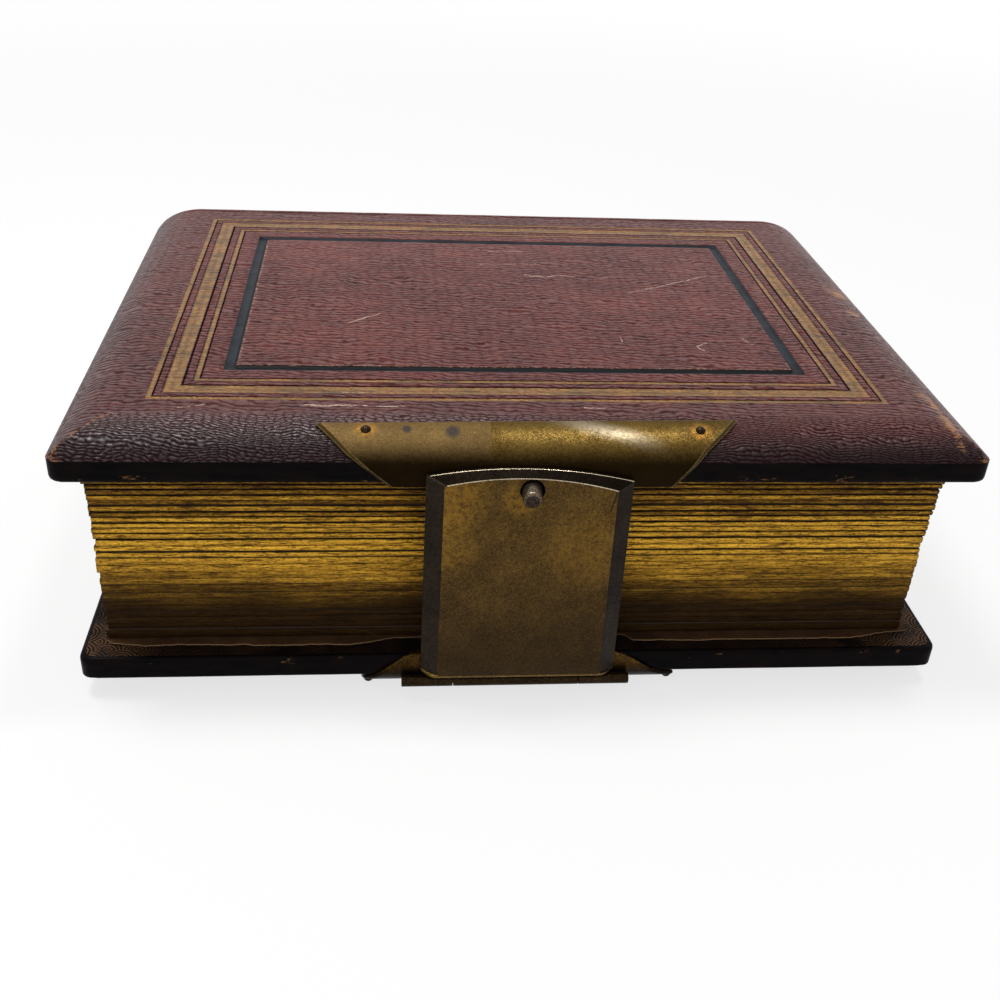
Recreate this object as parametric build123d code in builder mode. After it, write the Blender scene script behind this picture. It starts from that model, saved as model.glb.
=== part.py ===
from build123d import *
from math import atan2, degrees, sqrt
import os

# Antique photo album, lying on its back cover, in millimetres.
# X runs along the fore edge, Y from the fore edge back to the spine, Z up.
# The origin is on the surface that the album lies on, under the middle of the back cover.

os.makedirs("parts", exist_ok=True)

# Driving dimensions of the whole album
album_length = 155.0
cover_depth = 114.0
album_thickness = 51.6

# Covers: boards, leather and pastedowns
cover_thickness = 8.1
bevel_width = 9.5
bevel_drop = 4.1
fore_corner_radius = 3.6
spine_corner_radius = 2.4
corner_cut_share = 0.31
leather_thickness = 1.0
turn_in_thickness = 0.5
turn_in_width = 12.0
sunken_line_margin = 25.2
sunken_line_spine_margin = 17.6
sunken_line_width = 2.3
sunken_line_depth = 0.5

# Page block, flyleaves and spine
fore_square = 5.5
head_square = 4.1
flyleaf_thickness = 0.4
flyleaf_reach = 2.4
lining_thickness = 0.6
strip_thickness = 1.2
strip_setback = 0.8
spine_bulge = 4.0
spine_flat = 0.9
spine_round = 2.6
joint_gap = 0.4
band_radius = 1.0
band_inset = 1.5
bedding = 0.05

# Brass plates that wrap over the fore edges of the covers
plate_thickness = 0.8
plate_edge_bevel = 0.4
plate_core_share = 0.75
slant_share = 0.3
catch_reach = 7.9
catch_wide = 68.0
catch_narrow = 46.0
catch_foot_drop = 0.35
hinge_reach = 4.6
hinge_wide = 65.0
hinge_narrow = 44.0
hinge_lip_narrow = 36.0
hinge_lip_reach = 2.6

# Nails that hold the plates
nail_spacing = 55.0
catch_nail_inset = 4.1
hinge_nail_inset = 2.4
nail_radius = 0.55
nail_length = 5.0
nail_head_radius = 0.85
nail_head_height = 0.55
nail_clearance = 0.02

# Clasp
clasp_offset = -1.2
clasp_width = 34.0
clasp_thickness = 2.4
clasp_gap = 1.2
clasp_foot_rise = 2.3
clasp_head_rise = 1.4
clasp_arch_rise = 2.1
clasp_bevel_width = 2.7
clasp_bevel_depth = 1.8
clasp_corner_radius = 2.0
clasp_foot_round = 0.8
clasp_hole_radius = 2.0

# Stud that the clasp snaps over
stud_offset = -0.5
stud_drop = 7.0
stud_radius = 1.42
stud_reach = 6.2
stud_dome = 1.1
shank_radius = 0.9
shank_length = 3.0

# Barrel hinge under the clasp
barrel_radius = 1.05
barrel_clearance = 0.05
barrel_height = 4.0
barrel_length = 40.8
middle_knuckle_length = 22.4
knuckle_gap = 0.12
pin_radius = 0.5
pin_clearance = 0.03
web_thickness = 0.95

# How far cutting shapes run past what they cut
overrun = 6.0

# The back flyleaf's torn front edge, from right to left:
# shares of the block's half length, and of the flyleaf's reach past the block
torn_edge_shares = (
    (1.0, 0.0),
    (0.975, 0.05),
    (0.87, 0.95),
    (0.62, 1.0),
    (0.34, 0.96),
    (0.27, 0.05),
    (-0.12, 0.0),
    (-0.25, 0.15),
    (-0.37, 0.55),
    (-0.45, 1.0),
    (-0.68, 0.9),
    (-0.86, 0.98),
    (-0.965, 0.8),
    (-1.0, 0.0),
)

# Places worked out from the sizes above; depths are measured from the fore edge
fore_edge = -cover_depth / 2
half_length = album_length / 2
middle_depth = cover_depth / 2
middle_height = album_thickness / 2
middle_plane = Plane.XY.offset(middle_height)
cover_underside = album_thickness - cover_thickness
bevel_radius = (bevel_width**2 + bevel_drop**2) / (2 * bevel_drop)
bevel_centre_height = album_thickness - bevel_radius
plate_offset = bedding + plate_thickness

spine_start = cover_depth + joint_gap
spine_half_height = middle_height - joint_gap
spine_radius = (spine_bulge**2 + spine_half_height**2) / (2 * spine_bulge)
spine_centre = spine_start + spine_flat + spine_bulge - spine_radius
strip_inset = leather_thickness + bedding
lining_radius = spine_radius - strip_inset - strip_thickness - bedding
lining_inner_radius = lining_radius - lining_thickness
block_back_radius = lining_inner_radius - bedding

leaves_half_height = middle_height - cover_thickness
block_half_height = leaves_half_height - flyleaf_thickness
block_half_length = half_length - head_square

stud_height = album_thickness - stud_drop
clasp_low = barrel_height + clasp_foot_rise
clasp_shoulder = stud_height + clasp_head_rise
barrel_reach = plate_offset + barrel_clearance + barrel_radius
barrel_start = clasp_offset - barrel_length / 2
barrel_end = clasp_offset + barrel_length / 2
middle_start = clasp_offset - middle_knuckle_length / 2
middle_end = clasp_offset + middle_knuckle_length / 2


def bevel_shoulder(inset):
    # Height at which the cushion bevel meets the upright edge, with both faces moved inwards by inset
    return bevel_centre_height + sqrt((bevel_radius - inset) ** 2 - (bevel_width - inset) ** 2)


def arc_depth(radius, height):
    # Depth of the spine's round at a height from the middle
    return spine_centre + sqrt(radius**2 - height**2)


def level(height):
    # A level plane whose own Y is measured from the fore edge
    return Plane(origin=(0, fore_edge, height))


def section(x):
    # An upright plane across the fore edge, whose own X is measured back from that edge
    return Plane(origin=(x, fore_edge, 0), x_dir=(0, 1, 0), z_dir=(1, 0, 0))


def ahead(distance):
    # An upright plane along the fore edge and ahead of it, facing forwards
    return Plane(origin=(0, fore_edge - distance, 0), x_dir=(1, 0, 0), z_dir=(0, -1, 0))


def corner_arc(x, y, x_side, y_side, radius):
    # The round of a corner in plan, a little flatter than a true quarter circle
    middle = corner_cut_share * radius
    return ThreePointArc(
        (x - x_side * radius, y),
        (x - x_side * middle, y - y_side * middle),
        (x, y - y_side * radius),
    )


def cover_blank(inset, inner_inset):
    # The front cover's outline: cushion bevels on three sides, met in mitres, and square at the spine.
    # Its outer faces are moved inwards by inset and its inner face by inner_inset.
    low = cover_underside + inner_inset
    high = album_thickness - inset
    side = half_length - inset
    back = cover_depth - inset
    shoulder = bevel_shoulder(inset)
    flat_side = half_length - bevel_width
    with BuildPart() as blank:
        with BuildSketch(section(-side)):
            with BuildLine():
                TangentArc((bevel_width, high), (inset, shoulder), tangent=(-1, 0))
                Polyline((inset, shoulder), (inset, low), (back, low), (back, high), (bevel_width, high))
            make_face()
        extrude(amount=2 * side)
        with BuildSketch(ahead(-cover_depth - overrun)):
            with BuildLine():
                TangentArc((flat_side, high), (side, shoulder), tangent=(1, 0))
                Polyline((side, shoulder), (side, low), (-side, low), (-side, shoulder))
                TangentArc((-flat_side, high), (-side, shoulder), tangent=(-1, 0))
                Line((-flat_side, high), (flat_side, high))
            make_face()
        extrude(amount=cover_depth + 2 * overrun, mode=Mode.INTERSECT)
        with BuildSketch(level(low)):
            with BuildLine():
                fore = fore_corner_radius - inset
                spine = spine_corner_radius - inset
                for turn in (-1, 1):
                    corner_arc(turn * side, inset, turn, -1, fore)
                    corner_arc(turn * side, back, turn, 1, spine)
                    Line((turn * side, inset + fore), (turn * side, back - spine))
                Line((fore - side, inset), (side - fore, inset))
                Line((spine - side, back), (side - spine, back))
            make_face()
        extrude(amount=high - low, mode=Mode.INTERSECT)
    return blank.part


def pastedown_sheet():
    # The field inside the turned-in leather on a cover's inner face, as thick as the turn-in
    with BuildPart() as sheet:
        with BuildSketch(level(cover_underside)):
            with Locations((0, middle_depth)):
                Rectangle(album_length - 2 * turn_in_width, cover_depth - 2 * turn_in_width)
        extrude(amount=turn_in_thickness)
    return sheet.part


def leather_shell():
    # Leather over a board's outer face and edges, turned in over its inner face
    with BuildPart() as shell:
        add(cover_blank(0, 0))
        add(cover_blank(leather_thickness, turn_in_thickness), mode=Mode.SUBTRACT)
        add(pastedown_sheet(), mode=Mode.SUBTRACT)
    return shell.part


def nail_seat(side, inset):
    # Where a nail stands on a plate, square to the bevel under it
    slope = (bevel_width - inset) / (bevel_radius + plate_offset)
    rise = sqrt(1 - slope**2)
    height = bevel_centre_height + (bevel_radius + plate_offset) * rise
    return Plane(
        origin=(side * nail_spacing / 2, fore_edge + inset, height),
        x_dir=(1, 0, 0),
        z_dir=(0, -slope, rise),
    )


def nail():
    # A brass nail with a low domed head, standing on its seat
    with BuildPart() as pin:
        with BuildSketch(Plane.XZ):
            with BuildLine():
                TangentArc((0, nail_head_height), (nail_head_radius, 0), tangent=(1, 0))
                Polyline((nail_head_radius, 0), (nail_radius, 0), (nail_radius, -nail_length))
                Polyline((nail_radius, -nail_length), (0, -nail_length), (0, nail_head_height))
            make_face()
        revolve(axis=Axis.Z)
    return pin.part


def nail_holes(inset):
    # The holes that the two nails fill in plate, leather and board
    with BuildPart() as holes:
        for side in (-1, 1):
            with BuildSketch(nail_seat(side, inset).offset(overrun)):
                Circle(nail_radius + nail_clearance)
            extrude(amount=-overrun - nail_length)
    return holes.part


def stud_hole():
    # The hole behind the stud in plate, leather and board
    with BuildPart() as hole:
        with BuildSketch(ahead(overrun)):
            with Locations((stud_offset, stud_height)):
                Circle(shank_radius + nail_clearance)
        extrude(amount=-overrun - shank_length)
    return hole.part


def slanted_edges(wrap):
    # The outer edges of a plate's two slanted ends
    core = cover_blank(-bedding - plate_core_share * plate_thickness, -overrun).solid()
    picked = ShapeList()
    for face in wrap.faces().filter_by(GeomType.PLANE):
        if abs(face.normal_at().X) > slant_share:
            picked += [edge for edge in face.edges() if not core.is_inside(edge @ 0.5)]
    return picked


def plate_wrap(wide, narrow, reach, foot_drop, nail_inset):
    # A brass sheet bent over the bevel and upright edge of the front cover, narrower towards its foot
    foot = cover_underside - foot_drop
    taper = (wide - narrow) / cover_thickness / 2
    foot_half = narrow / 2 - foot_drop * taper
    with BuildPart() as wrap:
        add(cover_blank(-plate_offset, -foot_drop))
        add(cover_blank(-bedding, -overrun), mode=Mode.SUBTRACT)
        with BuildSketch(ahead(-reach)):
            with BuildLine():
                Polyline(
                    (-wide / 2, album_thickness),
                    (-foot_half, foot),
                    (foot_half, foot),
                    (wide / 2, album_thickness),
                    (wide / 2 + overrun * taper, album_thickness + overrun),
                    (-wide / 2 - overrun * taper, album_thickness + overrun),
                    close=True,
                )
            make_face()
        extrude(amount=reach + overrun, mode=Mode.INTERSECT)
        chamfer(slanted_edges(wrap), plate_edge_bevel)
        add(nail_holes(nail_inset), mode=Mode.SUBTRACT)
    return wrap.part


# Front cover: the millboard under the leather
with BuildPart() as front_board:
    add(cover_blank(leather_thickness, turn_in_thickness))
    add(nail_holes(catch_nail_inset), mode=Mode.SUBTRACT)
    add(stud_hole(), mode=Mode.SUBTRACT)

# Front cover: leather, with the sunken line that frames its middle panel
with BuildPart() as front_cover_leather:
    add(leather_shell())
    line_length = album_length - 2 * sunken_line_margin
    line_depth = cover_depth - sunken_line_margin - sunken_line_spine_margin
    with BuildSketch(level(album_thickness)):
        with Locations((0, sunken_line_margin + line_depth / 2)):
            Rectangle(line_length, line_depth)
            Rectangle(
                line_length - 2 * sunken_line_width,
                line_depth - 2 * sunken_line_width,
                mode=Mode.SUBTRACT,
            )
    extrude(amount=-sunken_line_depth, mode=Mode.SUBTRACT)
    add(nail_holes(catch_nail_inset), mode=Mode.SUBTRACT)
    add(stud_hole(), mode=Mode.SUBTRACT)

with BuildPart() as front_pastedown:
    add(pastedown_sheet())

# Catch plate on the front cover's fore edge
with BuildPart() as catch_plate:
    add(plate_wrap(catch_wide, catch_narrow, catch_reach, catch_foot_drop, catch_nail_inset))
    add(stud_hole(), mode=Mode.SUBTRACT)

# Nails of the catch plate
with BuildPart() as catch_plate_nail_left:
    with Locations(nail_seat(-1, catch_nail_inset)):
        add(nail())

with BuildPart() as catch_plate_nail_right:
    with Locations(nail_seat(1, catch_nail_inset)):
        add(nail())

# Domed stud, riveted through the catch plate into the board
with BuildPart() as catch_stud:
    with BuildSketch(level(stud_height)):
        with BuildLine():
            tip = (stud_offset, -stud_reach)
            dome_edge = (stud_offset + stud_radius, stud_dome - stud_reach)
            TangentArc(tip, dome_edge, tangent=(1, 0))
            Polyline(
                dome_edge,
                (stud_offset + stud_radius, -plate_offset),
                (stud_offset + shank_radius, -plate_offset),
                (stud_offset + shank_radius, shank_length),
                (stud_offset, shank_length),
                tip,
            )
        make_face()
    revolve(axis=Axis((stud_offset, fore_edge, stud_height), (0, 1, 0)))

# Page block: all the leaves together, rounded at the back
with BuildPart() as page_block:
    with BuildSketch(section(-block_half_length)):
        with BuildLine():
            block_low = middle_height - block_half_height
            block_high = middle_height + block_half_height
            block_edge = arc_depth(block_back_radius, block_half_height)
            ThreePointArc(
                (block_edge, block_low),
                (spine_centre + block_back_radius, middle_height),
                (block_edge, block_high),
            )
            Polyline(
                (block_edge, block_high),
                (fore_square, block_high),
                (fore_square, block_low),
                (block_edge, block_low),
            )
        make_face()
    extrude(amount=2 * block_half_length)

# Flyleaves: whole at the front, torn along its fore edge at the back
with BuildPart() as front_flyleaf:
    with BuildSketch(level(block_high)):
        with Locations((0, (fore_square + cover_depth) / 2)):
            Rectangle(2 * block_half_length, cover_depth - fore_square)
    extrude(amount=flyleaf_thickness)

with BuildPart() as back_flyleaf:
    with BuildSketch(level(cover_thickness)):
        with BuildLine():
            torn_edge = [
                (length_share * block_half_length, fore_square - reach_share * flyleaf_reach)
                for length_share, reach_share in torn_edge_shares
            ]
            Polyline(
                (block_half_length, cover_depth),
                *torn_edge,
                (-block_half_length, cover_depth),
                close=True,
            )
        make_face()
    extrude(amount=flyleaf_thickness)

# Linen lining on the block's back
with BuildPart() as spine_lining:
    with BuildSketch(section(-block_half_length)):
        with BuildLine():
            lining_outer_edge = arc_depth(lining_radius, block_half_height)
            lining_inner_edge = arc_depth(lining_inner_radius, block_half_height)
            ThreePointArc(
                (lining_outer_edge, block_low),
                (spine_centre + lining_radius, middle_height),
                (lining_outer_edge, block_high),
            )
            Line((lining_outer_edge, block_high), (lining_inner_edge, block_high))
            ThreePointArc(
                (lining_inner_edge, block_high),
                (spine_centre + lining_inner_radius, middle_height),
                (lining_inner_edge, block_low),
            )
            Line((lining_inner_edge, block_low), (lining_outer_edge, block_low))
        make_face()
    extrude(amount=2 * block_half_length)


def sewn_band(side):
    # A cord band across one end of the block, bent to the round of its back
    band_arc_radius = block_back_radius - band_radius
    band_half_height = block_half_height - band_inset
    band_edge = arc_depth(band_arc_radius, band_half_height)
    band_place = side * (block_half_length + bedding + band_radius)
    with BuildPart() as band:
        with BuildLine(section(band_place)) as band_path:
            ThreePointArc(
                (band_edge, middle_height - band_half_height),
                (spine_centre + band_arc_radius, middle_height),
                (band_edge, middle_height + band_half_height),
            )
        with BuildSketch(Plane(origin=band_path.line @ 0, z_dir=band_path.line % 0)):
            Circle(band_radius)
        sweep()
    return band.part


with BuildPart() as headband:
    add(sewn_band(-1))

with BuildPart() as tailband:
    add(sewn_band(1))


def spine_outline(inset):
    # The spine's section, rounded at its back and shoulders, with its faces moved inwards by inset
    arc_start = spine_start + spine_flat - inset
    half_height = sqrt((spine_radius - inset) ** 2 - (arc_start - spine_centre) ** 2)
    with BuildSketch() as outline:
        with BuildLine():
            ThreePointArc(
                (arc_start, middle_height - half_height),
                (spine_centre + spine_radius - inset, middle_height),
                (arc_start, middle_height + half_height),
            )
            Polyline(
                (arc_start, middle_height + half_height),
                (spine_start - overrun, middle_height + half_height),
                (spine_start - overrun, middle_height - half_height),
                (arc_start, middle_height - half_height),
            )
        make_face()
        fillet(outline.vertices().group_by(Axis.X)[-1], spine_round - inset)
    return outline.sketch


def spine_layer(inset, thickness, start, length):
    # One layer of the spine, from the given depth backwards
    with BuildPart() as layer:
        with BuildSketch(section(-length / 2)):
            add(spine_outline(inset))
            add(spine_outline(inset + thickness), mode=Mode.SUBTRACT)
            with Locations((start, middle_height)):
                Rectangle(
                    spine_flat + spine_bulge + overrun,
                    album_thickness,
                    align=(Align.MIN, Align.CENTER),
                    mode=Mode.INTERSECT,
                )
        extrude(amount=length)
    return layer.part


# Leather of the spine, and the card strip that stiffens it
with BuildPart() as spine_leather:
    add(spine_layer(0, leather_thickness, spine_start, album_length - 2 * spine_corner_radius))

with BuildPart() as spine_strip:
    add(spine_layer(strip_inset, strip_thickness, spine_start + strip_setback, 2 * block_half_length))

# Back cover: the same board, leather and pastedown, turned over
with BuildPart() as back_board:
    mirror(cover_blank(leather_thickness, turn_in_thickness), about=middle_plane)
    mirror(nail_holes(hinge_nail_inset), about=middle_plane, mode=Mode.SUBTRACT)

with BuildPart() as back_cover_leather:
    mirror(leather_shell(), about=middle_plane)
    mirror(nail_holes(hinge_nail_inset), about=middle_plane, mode=Mode.SUBTRACT)

with BuildPart() as back_pastedown:
    mirror(pastedown_sheet(), about=middle_plane)


def hinge_lip():
    # The part of the hinge plate that is folded in over the cover's inner face
    corner_half = hinge_narrow / 2
    lip_half = hinge_lip_narrow / 2
    with BuildPart() as lip:
        with BuildSketch(level(cover_thickness)):
            with BuildLine():
                Polyline(
                    (-corner_half, -plate_offset),
                    (corner_half, -plate_offset),
                    (lip_half, hinge_lip_reach),
                    (-lip_half, hinge_lip_reach),
                    close=True,
                )
            make_face()
        extrude(amount=plate_thickness)
    return lip.part


def tube(start, end, radius):
    # A round bar along the barrel's axis
    with BuildPart() as bar:
        with BuildSketch(section(start)):
            with Locations((-barrel_reach, barrel_height)):
                Circle(radius)
        extrude(amount=end - start)
    return bar.part


# Hinge plate on the back cover's fore edge, with the two outer knuckles
with BuildPart() as hinge_plate:
    mirror(plate_wrap(hinge_wide, hinge_narrow, hinge_reach, 0, hinge_nail_inset), about=middle_plane)
    add(hinge_lip())
    for start, end in ((barrel_start, middle_start - knuckle_gap), (middle_end + knuckle_gap, barrel_end)):
        add(tube(start, end, barrel_radius))
        with BuildSketch(section(start)):
            with Locations((-barrel_reach, barrel_height - barrel_radius)):
                Rectangle(barrel_reach + bevel_width, web_thickness, align=(Align.MIN, Align.MIN))
        extrude(amount=end - start)
    mirror(cover_blank(-bedding, 0), about=middle_plane, mode=Mode.SUBTRACT)
    add(tube(barrel_start, barrel_end, pin_radius + pin_clearance), mode=Mode.SUBTRACT)

with BuildPart() as hinge_pin:
    add(tube(barrel_start, barrel_end, pin_radius))

# Nails of the hinge plate
with BuildPart() as hinge_plate_nail_left:
    with Locations(nail_seat(-1, hinge_nail_inset)):
        add(nail())
    mirror(about=middle_plane, mode=Mode.REPLACE)

with BuildPart() as hinge_plate_nail_right:
    with Locations(nail_seat(1, hinge_nail_inset)):
        add(nail())
    mirror(about=middle_plane, mode=Mode.REPLACE)


def clasp_outline(extra):
    # The clasp's outline with its arched top, carried down by extra at its foot
    left = clasp_offset - clasp_width / 2
    right = clasp_offset + clasp_width / 2
    low = clasp_low - extra
    with BuildSketch() as outline:
        with BuildLine():
            Polyline((left, clasp_shoulder), (left, low), (right, low), (right, clasp_shoulder))
            ThreePointArc(
                (right, clasp_shoulder),
                (clasp_offset, clasp_shoulder + clasp_arch_rise),
                (left, clasp_shoulder),
            )
        make_face()
    return outline.sketch


# Clasp: a bevelled plate with an arched top, a hole for the stud and the middle knuckle
with BuildPart() as clasp_plate:
    clasp_rim = clasp_thickness - clasp_bevel_depth
    clasp_taper = degrees(atan2(clasp_bevel_width, clasp_bevel_depth))
    with BuildSketch(ahead(clasp_gap)):
        add(clasp_outline(overrun))
    extrude(amount=clasp_rim)
    with BuildSketch(ahead(clasp_gap + clasp_rim)):
        add(clasp_outline(overrun))
    extrude(amount=clasp_bevel_depth, taper=clasp_taper)
    with BuildSketch(ahead(clasp_gap)) as clasp_foot:
        add(clasp_outline(0))
        fillet(clasp_foot.vertices().group_by(Axis.Y)[0], clasp_corner_radius)
    extrude(amount=clasp_thickness, mode=Mode.INTERSECT)
    fillet(clasp_plate.edges().group_by(Axis.Z)[0].sort_by(Axis.Y)[0], clasp_foot_round)
    with BuildSketch(ahead(overrun)):
        with Locations((stud_offset, stud_height)):
            Circle(clasp_hole_radius)
    extrude(amount=-overrun, mode=Mode.SUBTRACT)
    add(tube(middle_start, middle_end, barrel_radius))
    web_rise = clasp_foot_rise + clasp_thickness
    with BuildSketch(section(middle_start)):
        with Locations((-clasp_gap, barrel_height)):
            Rectangle(web_thickness, web_rise, align=(Align.MAX, Align.MIN))
    extrude(amount=middle_knuckle_length)
    add(tube(middle_start, middle_end, pin_radius + pin_clearance), mode=Mode.SUBTRACT)

front_board.part.label = "front_board"
front_cover_leather.part.label = "front_cover_leather"
front_pastedown.part.label = "front_pastedown"
catch_plate.part.label = "catch_plate"
catch_plate_nail_left.part.label = "catch_plate_nail_left"
catch_plate_nail_right.part.label = "catch_plate_nail_right"
catch_stud.part.label = "catch_stud"
page_block.part.label = "page_block"
front_flyleaf.part.label = "front_flyleaf"
back_flyleaf.part.label = "back_flyleaf"
spine_lining.part.label = "spine_lining"
headband.part.label = "headband"
tailband.part.label = "tailband"
spine_strip.part.label = "spine_strip"
spine_leather.part.label = "spine_leather"
back_board.part.label = "back_board"
back_cover_leather.part.label = "back_cover_leather"
back_pastedown.part.label = "back_pastedown"
hinge_plate.part.label = "hinge_plate"
hinge_pin.part.label = "hinge_pin"
hinge_plate_nail_left.part.label = "hinge_plate_nail_left"
hinge_plate_nail_right.part.label = "hinge_plate_nail_right"
clasp_plate.part.label = "clasp_plate"

export_step(front_board.part, "parts/front_board.step")
export_step(front_cover_leather.part, "parts/front_cover_leather.step")
export_step(front_pastedown.part, "parts/front_pastedown.step")
export_step(catch_plate.part, "parts/catch_plate.step")
export_step(catch_plate_nail_left.part, "parts/catch_plate_nail_left.step")
export_step(catch_plate_nail_right.part, "parts/catch_plate_nail_right.step")
export_step(catch_stud.part, "parts/catch_stud.step")
export_step(page_block.part, "parts/page_block.step")
export_step(front_flyleaf.part, "parts/front_flyleaf.step")
export_step(back_flyleaf.part, "parts/back_flyleaf.step")
export_step(spine_lining.part, "parts/spine_lining.step")
export_step(headband.part, "parts/headband.step")
export_step(tailband.part, "parts/tailband.step")
export_step(spine_strip.part, "parts/spine_strip.step")
export_step(spine_leather.part, "parts/spine_leather.step")
export_step(back_board.part, "parts/back_board.step")
export_step(back_cover_leather.part, "parts/back_cover_leather.step")
export_step(back_pastedown.part, "parts/back_pastedown.step")
export_step(hinge_plate.part, "parts/hinge_plate.step")
export_step(hinge_pin.part, "parts/hinge_pin.step")
export_step(hinge_plate_nail_left.part, "parts/hinge_plate_nail_left.step")
export_step(hinge_plate_nail_right.part, "parts/hinge_plate_nail_right.step")
export_step(clasp_plate.part, "parts/clasp_plate.step")
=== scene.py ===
import math
import random

import bmesh
import bpy
import numpy as np
from mathutils import Matrix, Vector


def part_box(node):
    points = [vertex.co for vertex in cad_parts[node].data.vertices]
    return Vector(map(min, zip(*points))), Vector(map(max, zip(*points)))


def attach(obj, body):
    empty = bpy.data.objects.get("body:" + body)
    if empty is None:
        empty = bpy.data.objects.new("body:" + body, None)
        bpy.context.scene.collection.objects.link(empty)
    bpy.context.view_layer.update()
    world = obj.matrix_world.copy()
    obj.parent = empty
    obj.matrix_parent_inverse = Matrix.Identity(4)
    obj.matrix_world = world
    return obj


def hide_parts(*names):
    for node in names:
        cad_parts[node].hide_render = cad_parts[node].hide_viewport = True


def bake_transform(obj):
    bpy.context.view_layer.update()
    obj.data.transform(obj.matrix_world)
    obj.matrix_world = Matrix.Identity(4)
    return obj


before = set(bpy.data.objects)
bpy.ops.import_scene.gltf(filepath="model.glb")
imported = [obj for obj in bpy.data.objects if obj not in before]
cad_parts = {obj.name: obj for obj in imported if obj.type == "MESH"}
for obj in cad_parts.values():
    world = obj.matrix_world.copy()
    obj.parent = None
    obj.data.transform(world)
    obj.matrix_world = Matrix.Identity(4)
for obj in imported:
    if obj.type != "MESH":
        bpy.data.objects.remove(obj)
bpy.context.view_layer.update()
print("frame loaded")

mm = 0.001
random.seed(7)

# places read from the frame
coverLow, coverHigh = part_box("front_cover_leather")
backLow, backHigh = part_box("back_cover_leather")
blockLow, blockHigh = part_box("page_block")
flyLow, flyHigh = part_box("back_flyleaf")
spineLow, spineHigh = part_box("spine_leather")
middleHeight = (coverHigh.z + backLow.z) / 2


# camera, as the photo was taken
view = {
    "place": (-24.2 * mm, -221.4 * mm, 141.3 * mm),
    "yaw": 6.45,      # degrees to the right of straight ahead
    "pitch": 31.36,   # degrees down
    "roll": 3.29,
    "lens": 42.44,
}


def makeCamera():
    yaw, pitch, roll = (math.radians(view[k]) for k in ("yaw", "pitch", "roll"))
    ahead = Vector((math.sin(yaw) * math.cos(pitch), math.cos(yaw) * math.cos(pitch), -math.sin(pitch)))
    level = Vector((math.cos(yaw), -math.sin(yaw), 0))
    upright = level.cross(ahead)
    right = math.cos(roll) * level + math.sin(roll) * upright
    up = math.cos(roll) * upright - math.sin(roll) * level
    data = bpy.data.cameras.new("camera")
    data.lens = view["lens"]
    data.clip_start = 0.01
    data.clip_end = 20
    camera = bpy.data.objects.new("camera", data)
    turned = Matrix((right, up, -ahead)).transposed().to_4x4()
    camera.matrix_world = Matrix.Translation(view["place"]) @ turned
    bpy.context.scene.collection.objects.link(camera)
    bpy.context.scene.camera = camera


makeCamera()
print("camera placed")


# small helpers for node materials, which all work on the tree that was started last
tree = None


def startTree(owner):
    global tree
    owner.use_nodes = True
    tree = owner.node_tree
    tree.nodes.clear()


class Field:
    # a number that varies over a surface; its sums are written as plain sums
    def __init__(self, socket):
        self.socket = socket

    def __add__(self, other):
        return calc("ADD", self, other)

    def __sub__(self, other):
        return calc("SUBTRACT", self, other)

    def __rsub__(self, other):
        return calc("SUBTRACT", other, self)

    def __mul__(self, other):
        return calc("MULTIPLY", self, other)

    def __truediv__(self, other):
        return calc("DIVIDE", self, other)

    __radd__ = __add__
    __rmul__ = __mul__


def plug(value, socket):
    # links what varies and writes what doesn't
    if isinstance(value, Field):
        value = value.socket
    if isinstance(value, bpy.types.NodeSocket):
        tree.links.new(value, socket)
    else:
        socket.default_value = value


def put(kind, sockets, **settings):
    node = tree.nodes.new(kind)
    for key, value in settings.items():
        setattr(node, key, value)
    for key, value in sockets.items():
        plug(value, node.inputs[key])
    return node


def newMaterial(name):
    material = bpy.data.materials.new(name)
    startTree(material)
    shader = put("ShaderNodeBsdfPrincipled", {})
    put("ShaderNodeOutputMaterial", {"Surface": shader.outputs[0]})
    return material, shader


looks = {
    "colour": "Base Color",
    "roughness": "Roughness",
    "metal": "Metallic",
    "shine": "Specular IOR Level",
    "relief": "Normal",
}


def dress(shader, **values):
    for name, value in values.items():
        plug(value, shader.inputs[looks[name]])


def calc(operation, first, second=0.0):
    return Field(put("ShaderNodeMath", {0: first, 1: second}, operation=operation).outputs[0])


def vectorCalc(operation, first, second=(0, 0, 0)):
    node = put("ShaderNodeVectorMath", {0: first, 1: second}, operation=operation)
    if operation in ("DISTANCE", "DOT_PRODUCT", "LENGTH"):
        return Field(node.outputs["Value"])
    return node.outputs["Vector"]


def scaled(vector, amount):
    return put("ShaderNodeVectorMath", {0: vector, "Scale": amount}, operation="SCALE").outputs["Vector"]


def place():
    return put("ShaderNodeTexCoord", {}).outputs["Object"]


def parted(where):
    return [Field(socket) for socket in put("ShaderNodeSeparateXYZ", {0: where}).outputs]


def attribute(name):
    return Field(put("ShaderNodeAttribute", {}, attribute_name=name).outputs["Fac"])


def speckle(where, size, detail=4.0, rough=0.5, warp=0.0, stretch=None):
    # noise whose blobs are about size across, or longer where stretch is under 1
    if stretch:
        where = put("ShaderNodeMapping", {"Vector": where, "Scale": stretch}).outputs[0]
    sockets = {"Vector": where, "Scale": 1 / size, "Detail": detail, "Roughness": rough, "Distortion": warp}
    return Field(put("ShaderNodeTexNoise", sockets).outputs["Fac"])


def eased(value, low, high, start=0.0, end=1.0):
    sockets = {"Value": value, "From Min": low, "From Max": high, "To Min": start, "To Max": end}
    return Field(put("ShaderNodeMapRange", sockets, interpolation_type="SMOOTHSTEP").outputs["Result"])


def band(value, low, high, soft):
    return eased(value, low - soft, low + soft) * eased(value, high - soft, high + soft, 1.0, 0.0)


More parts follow.
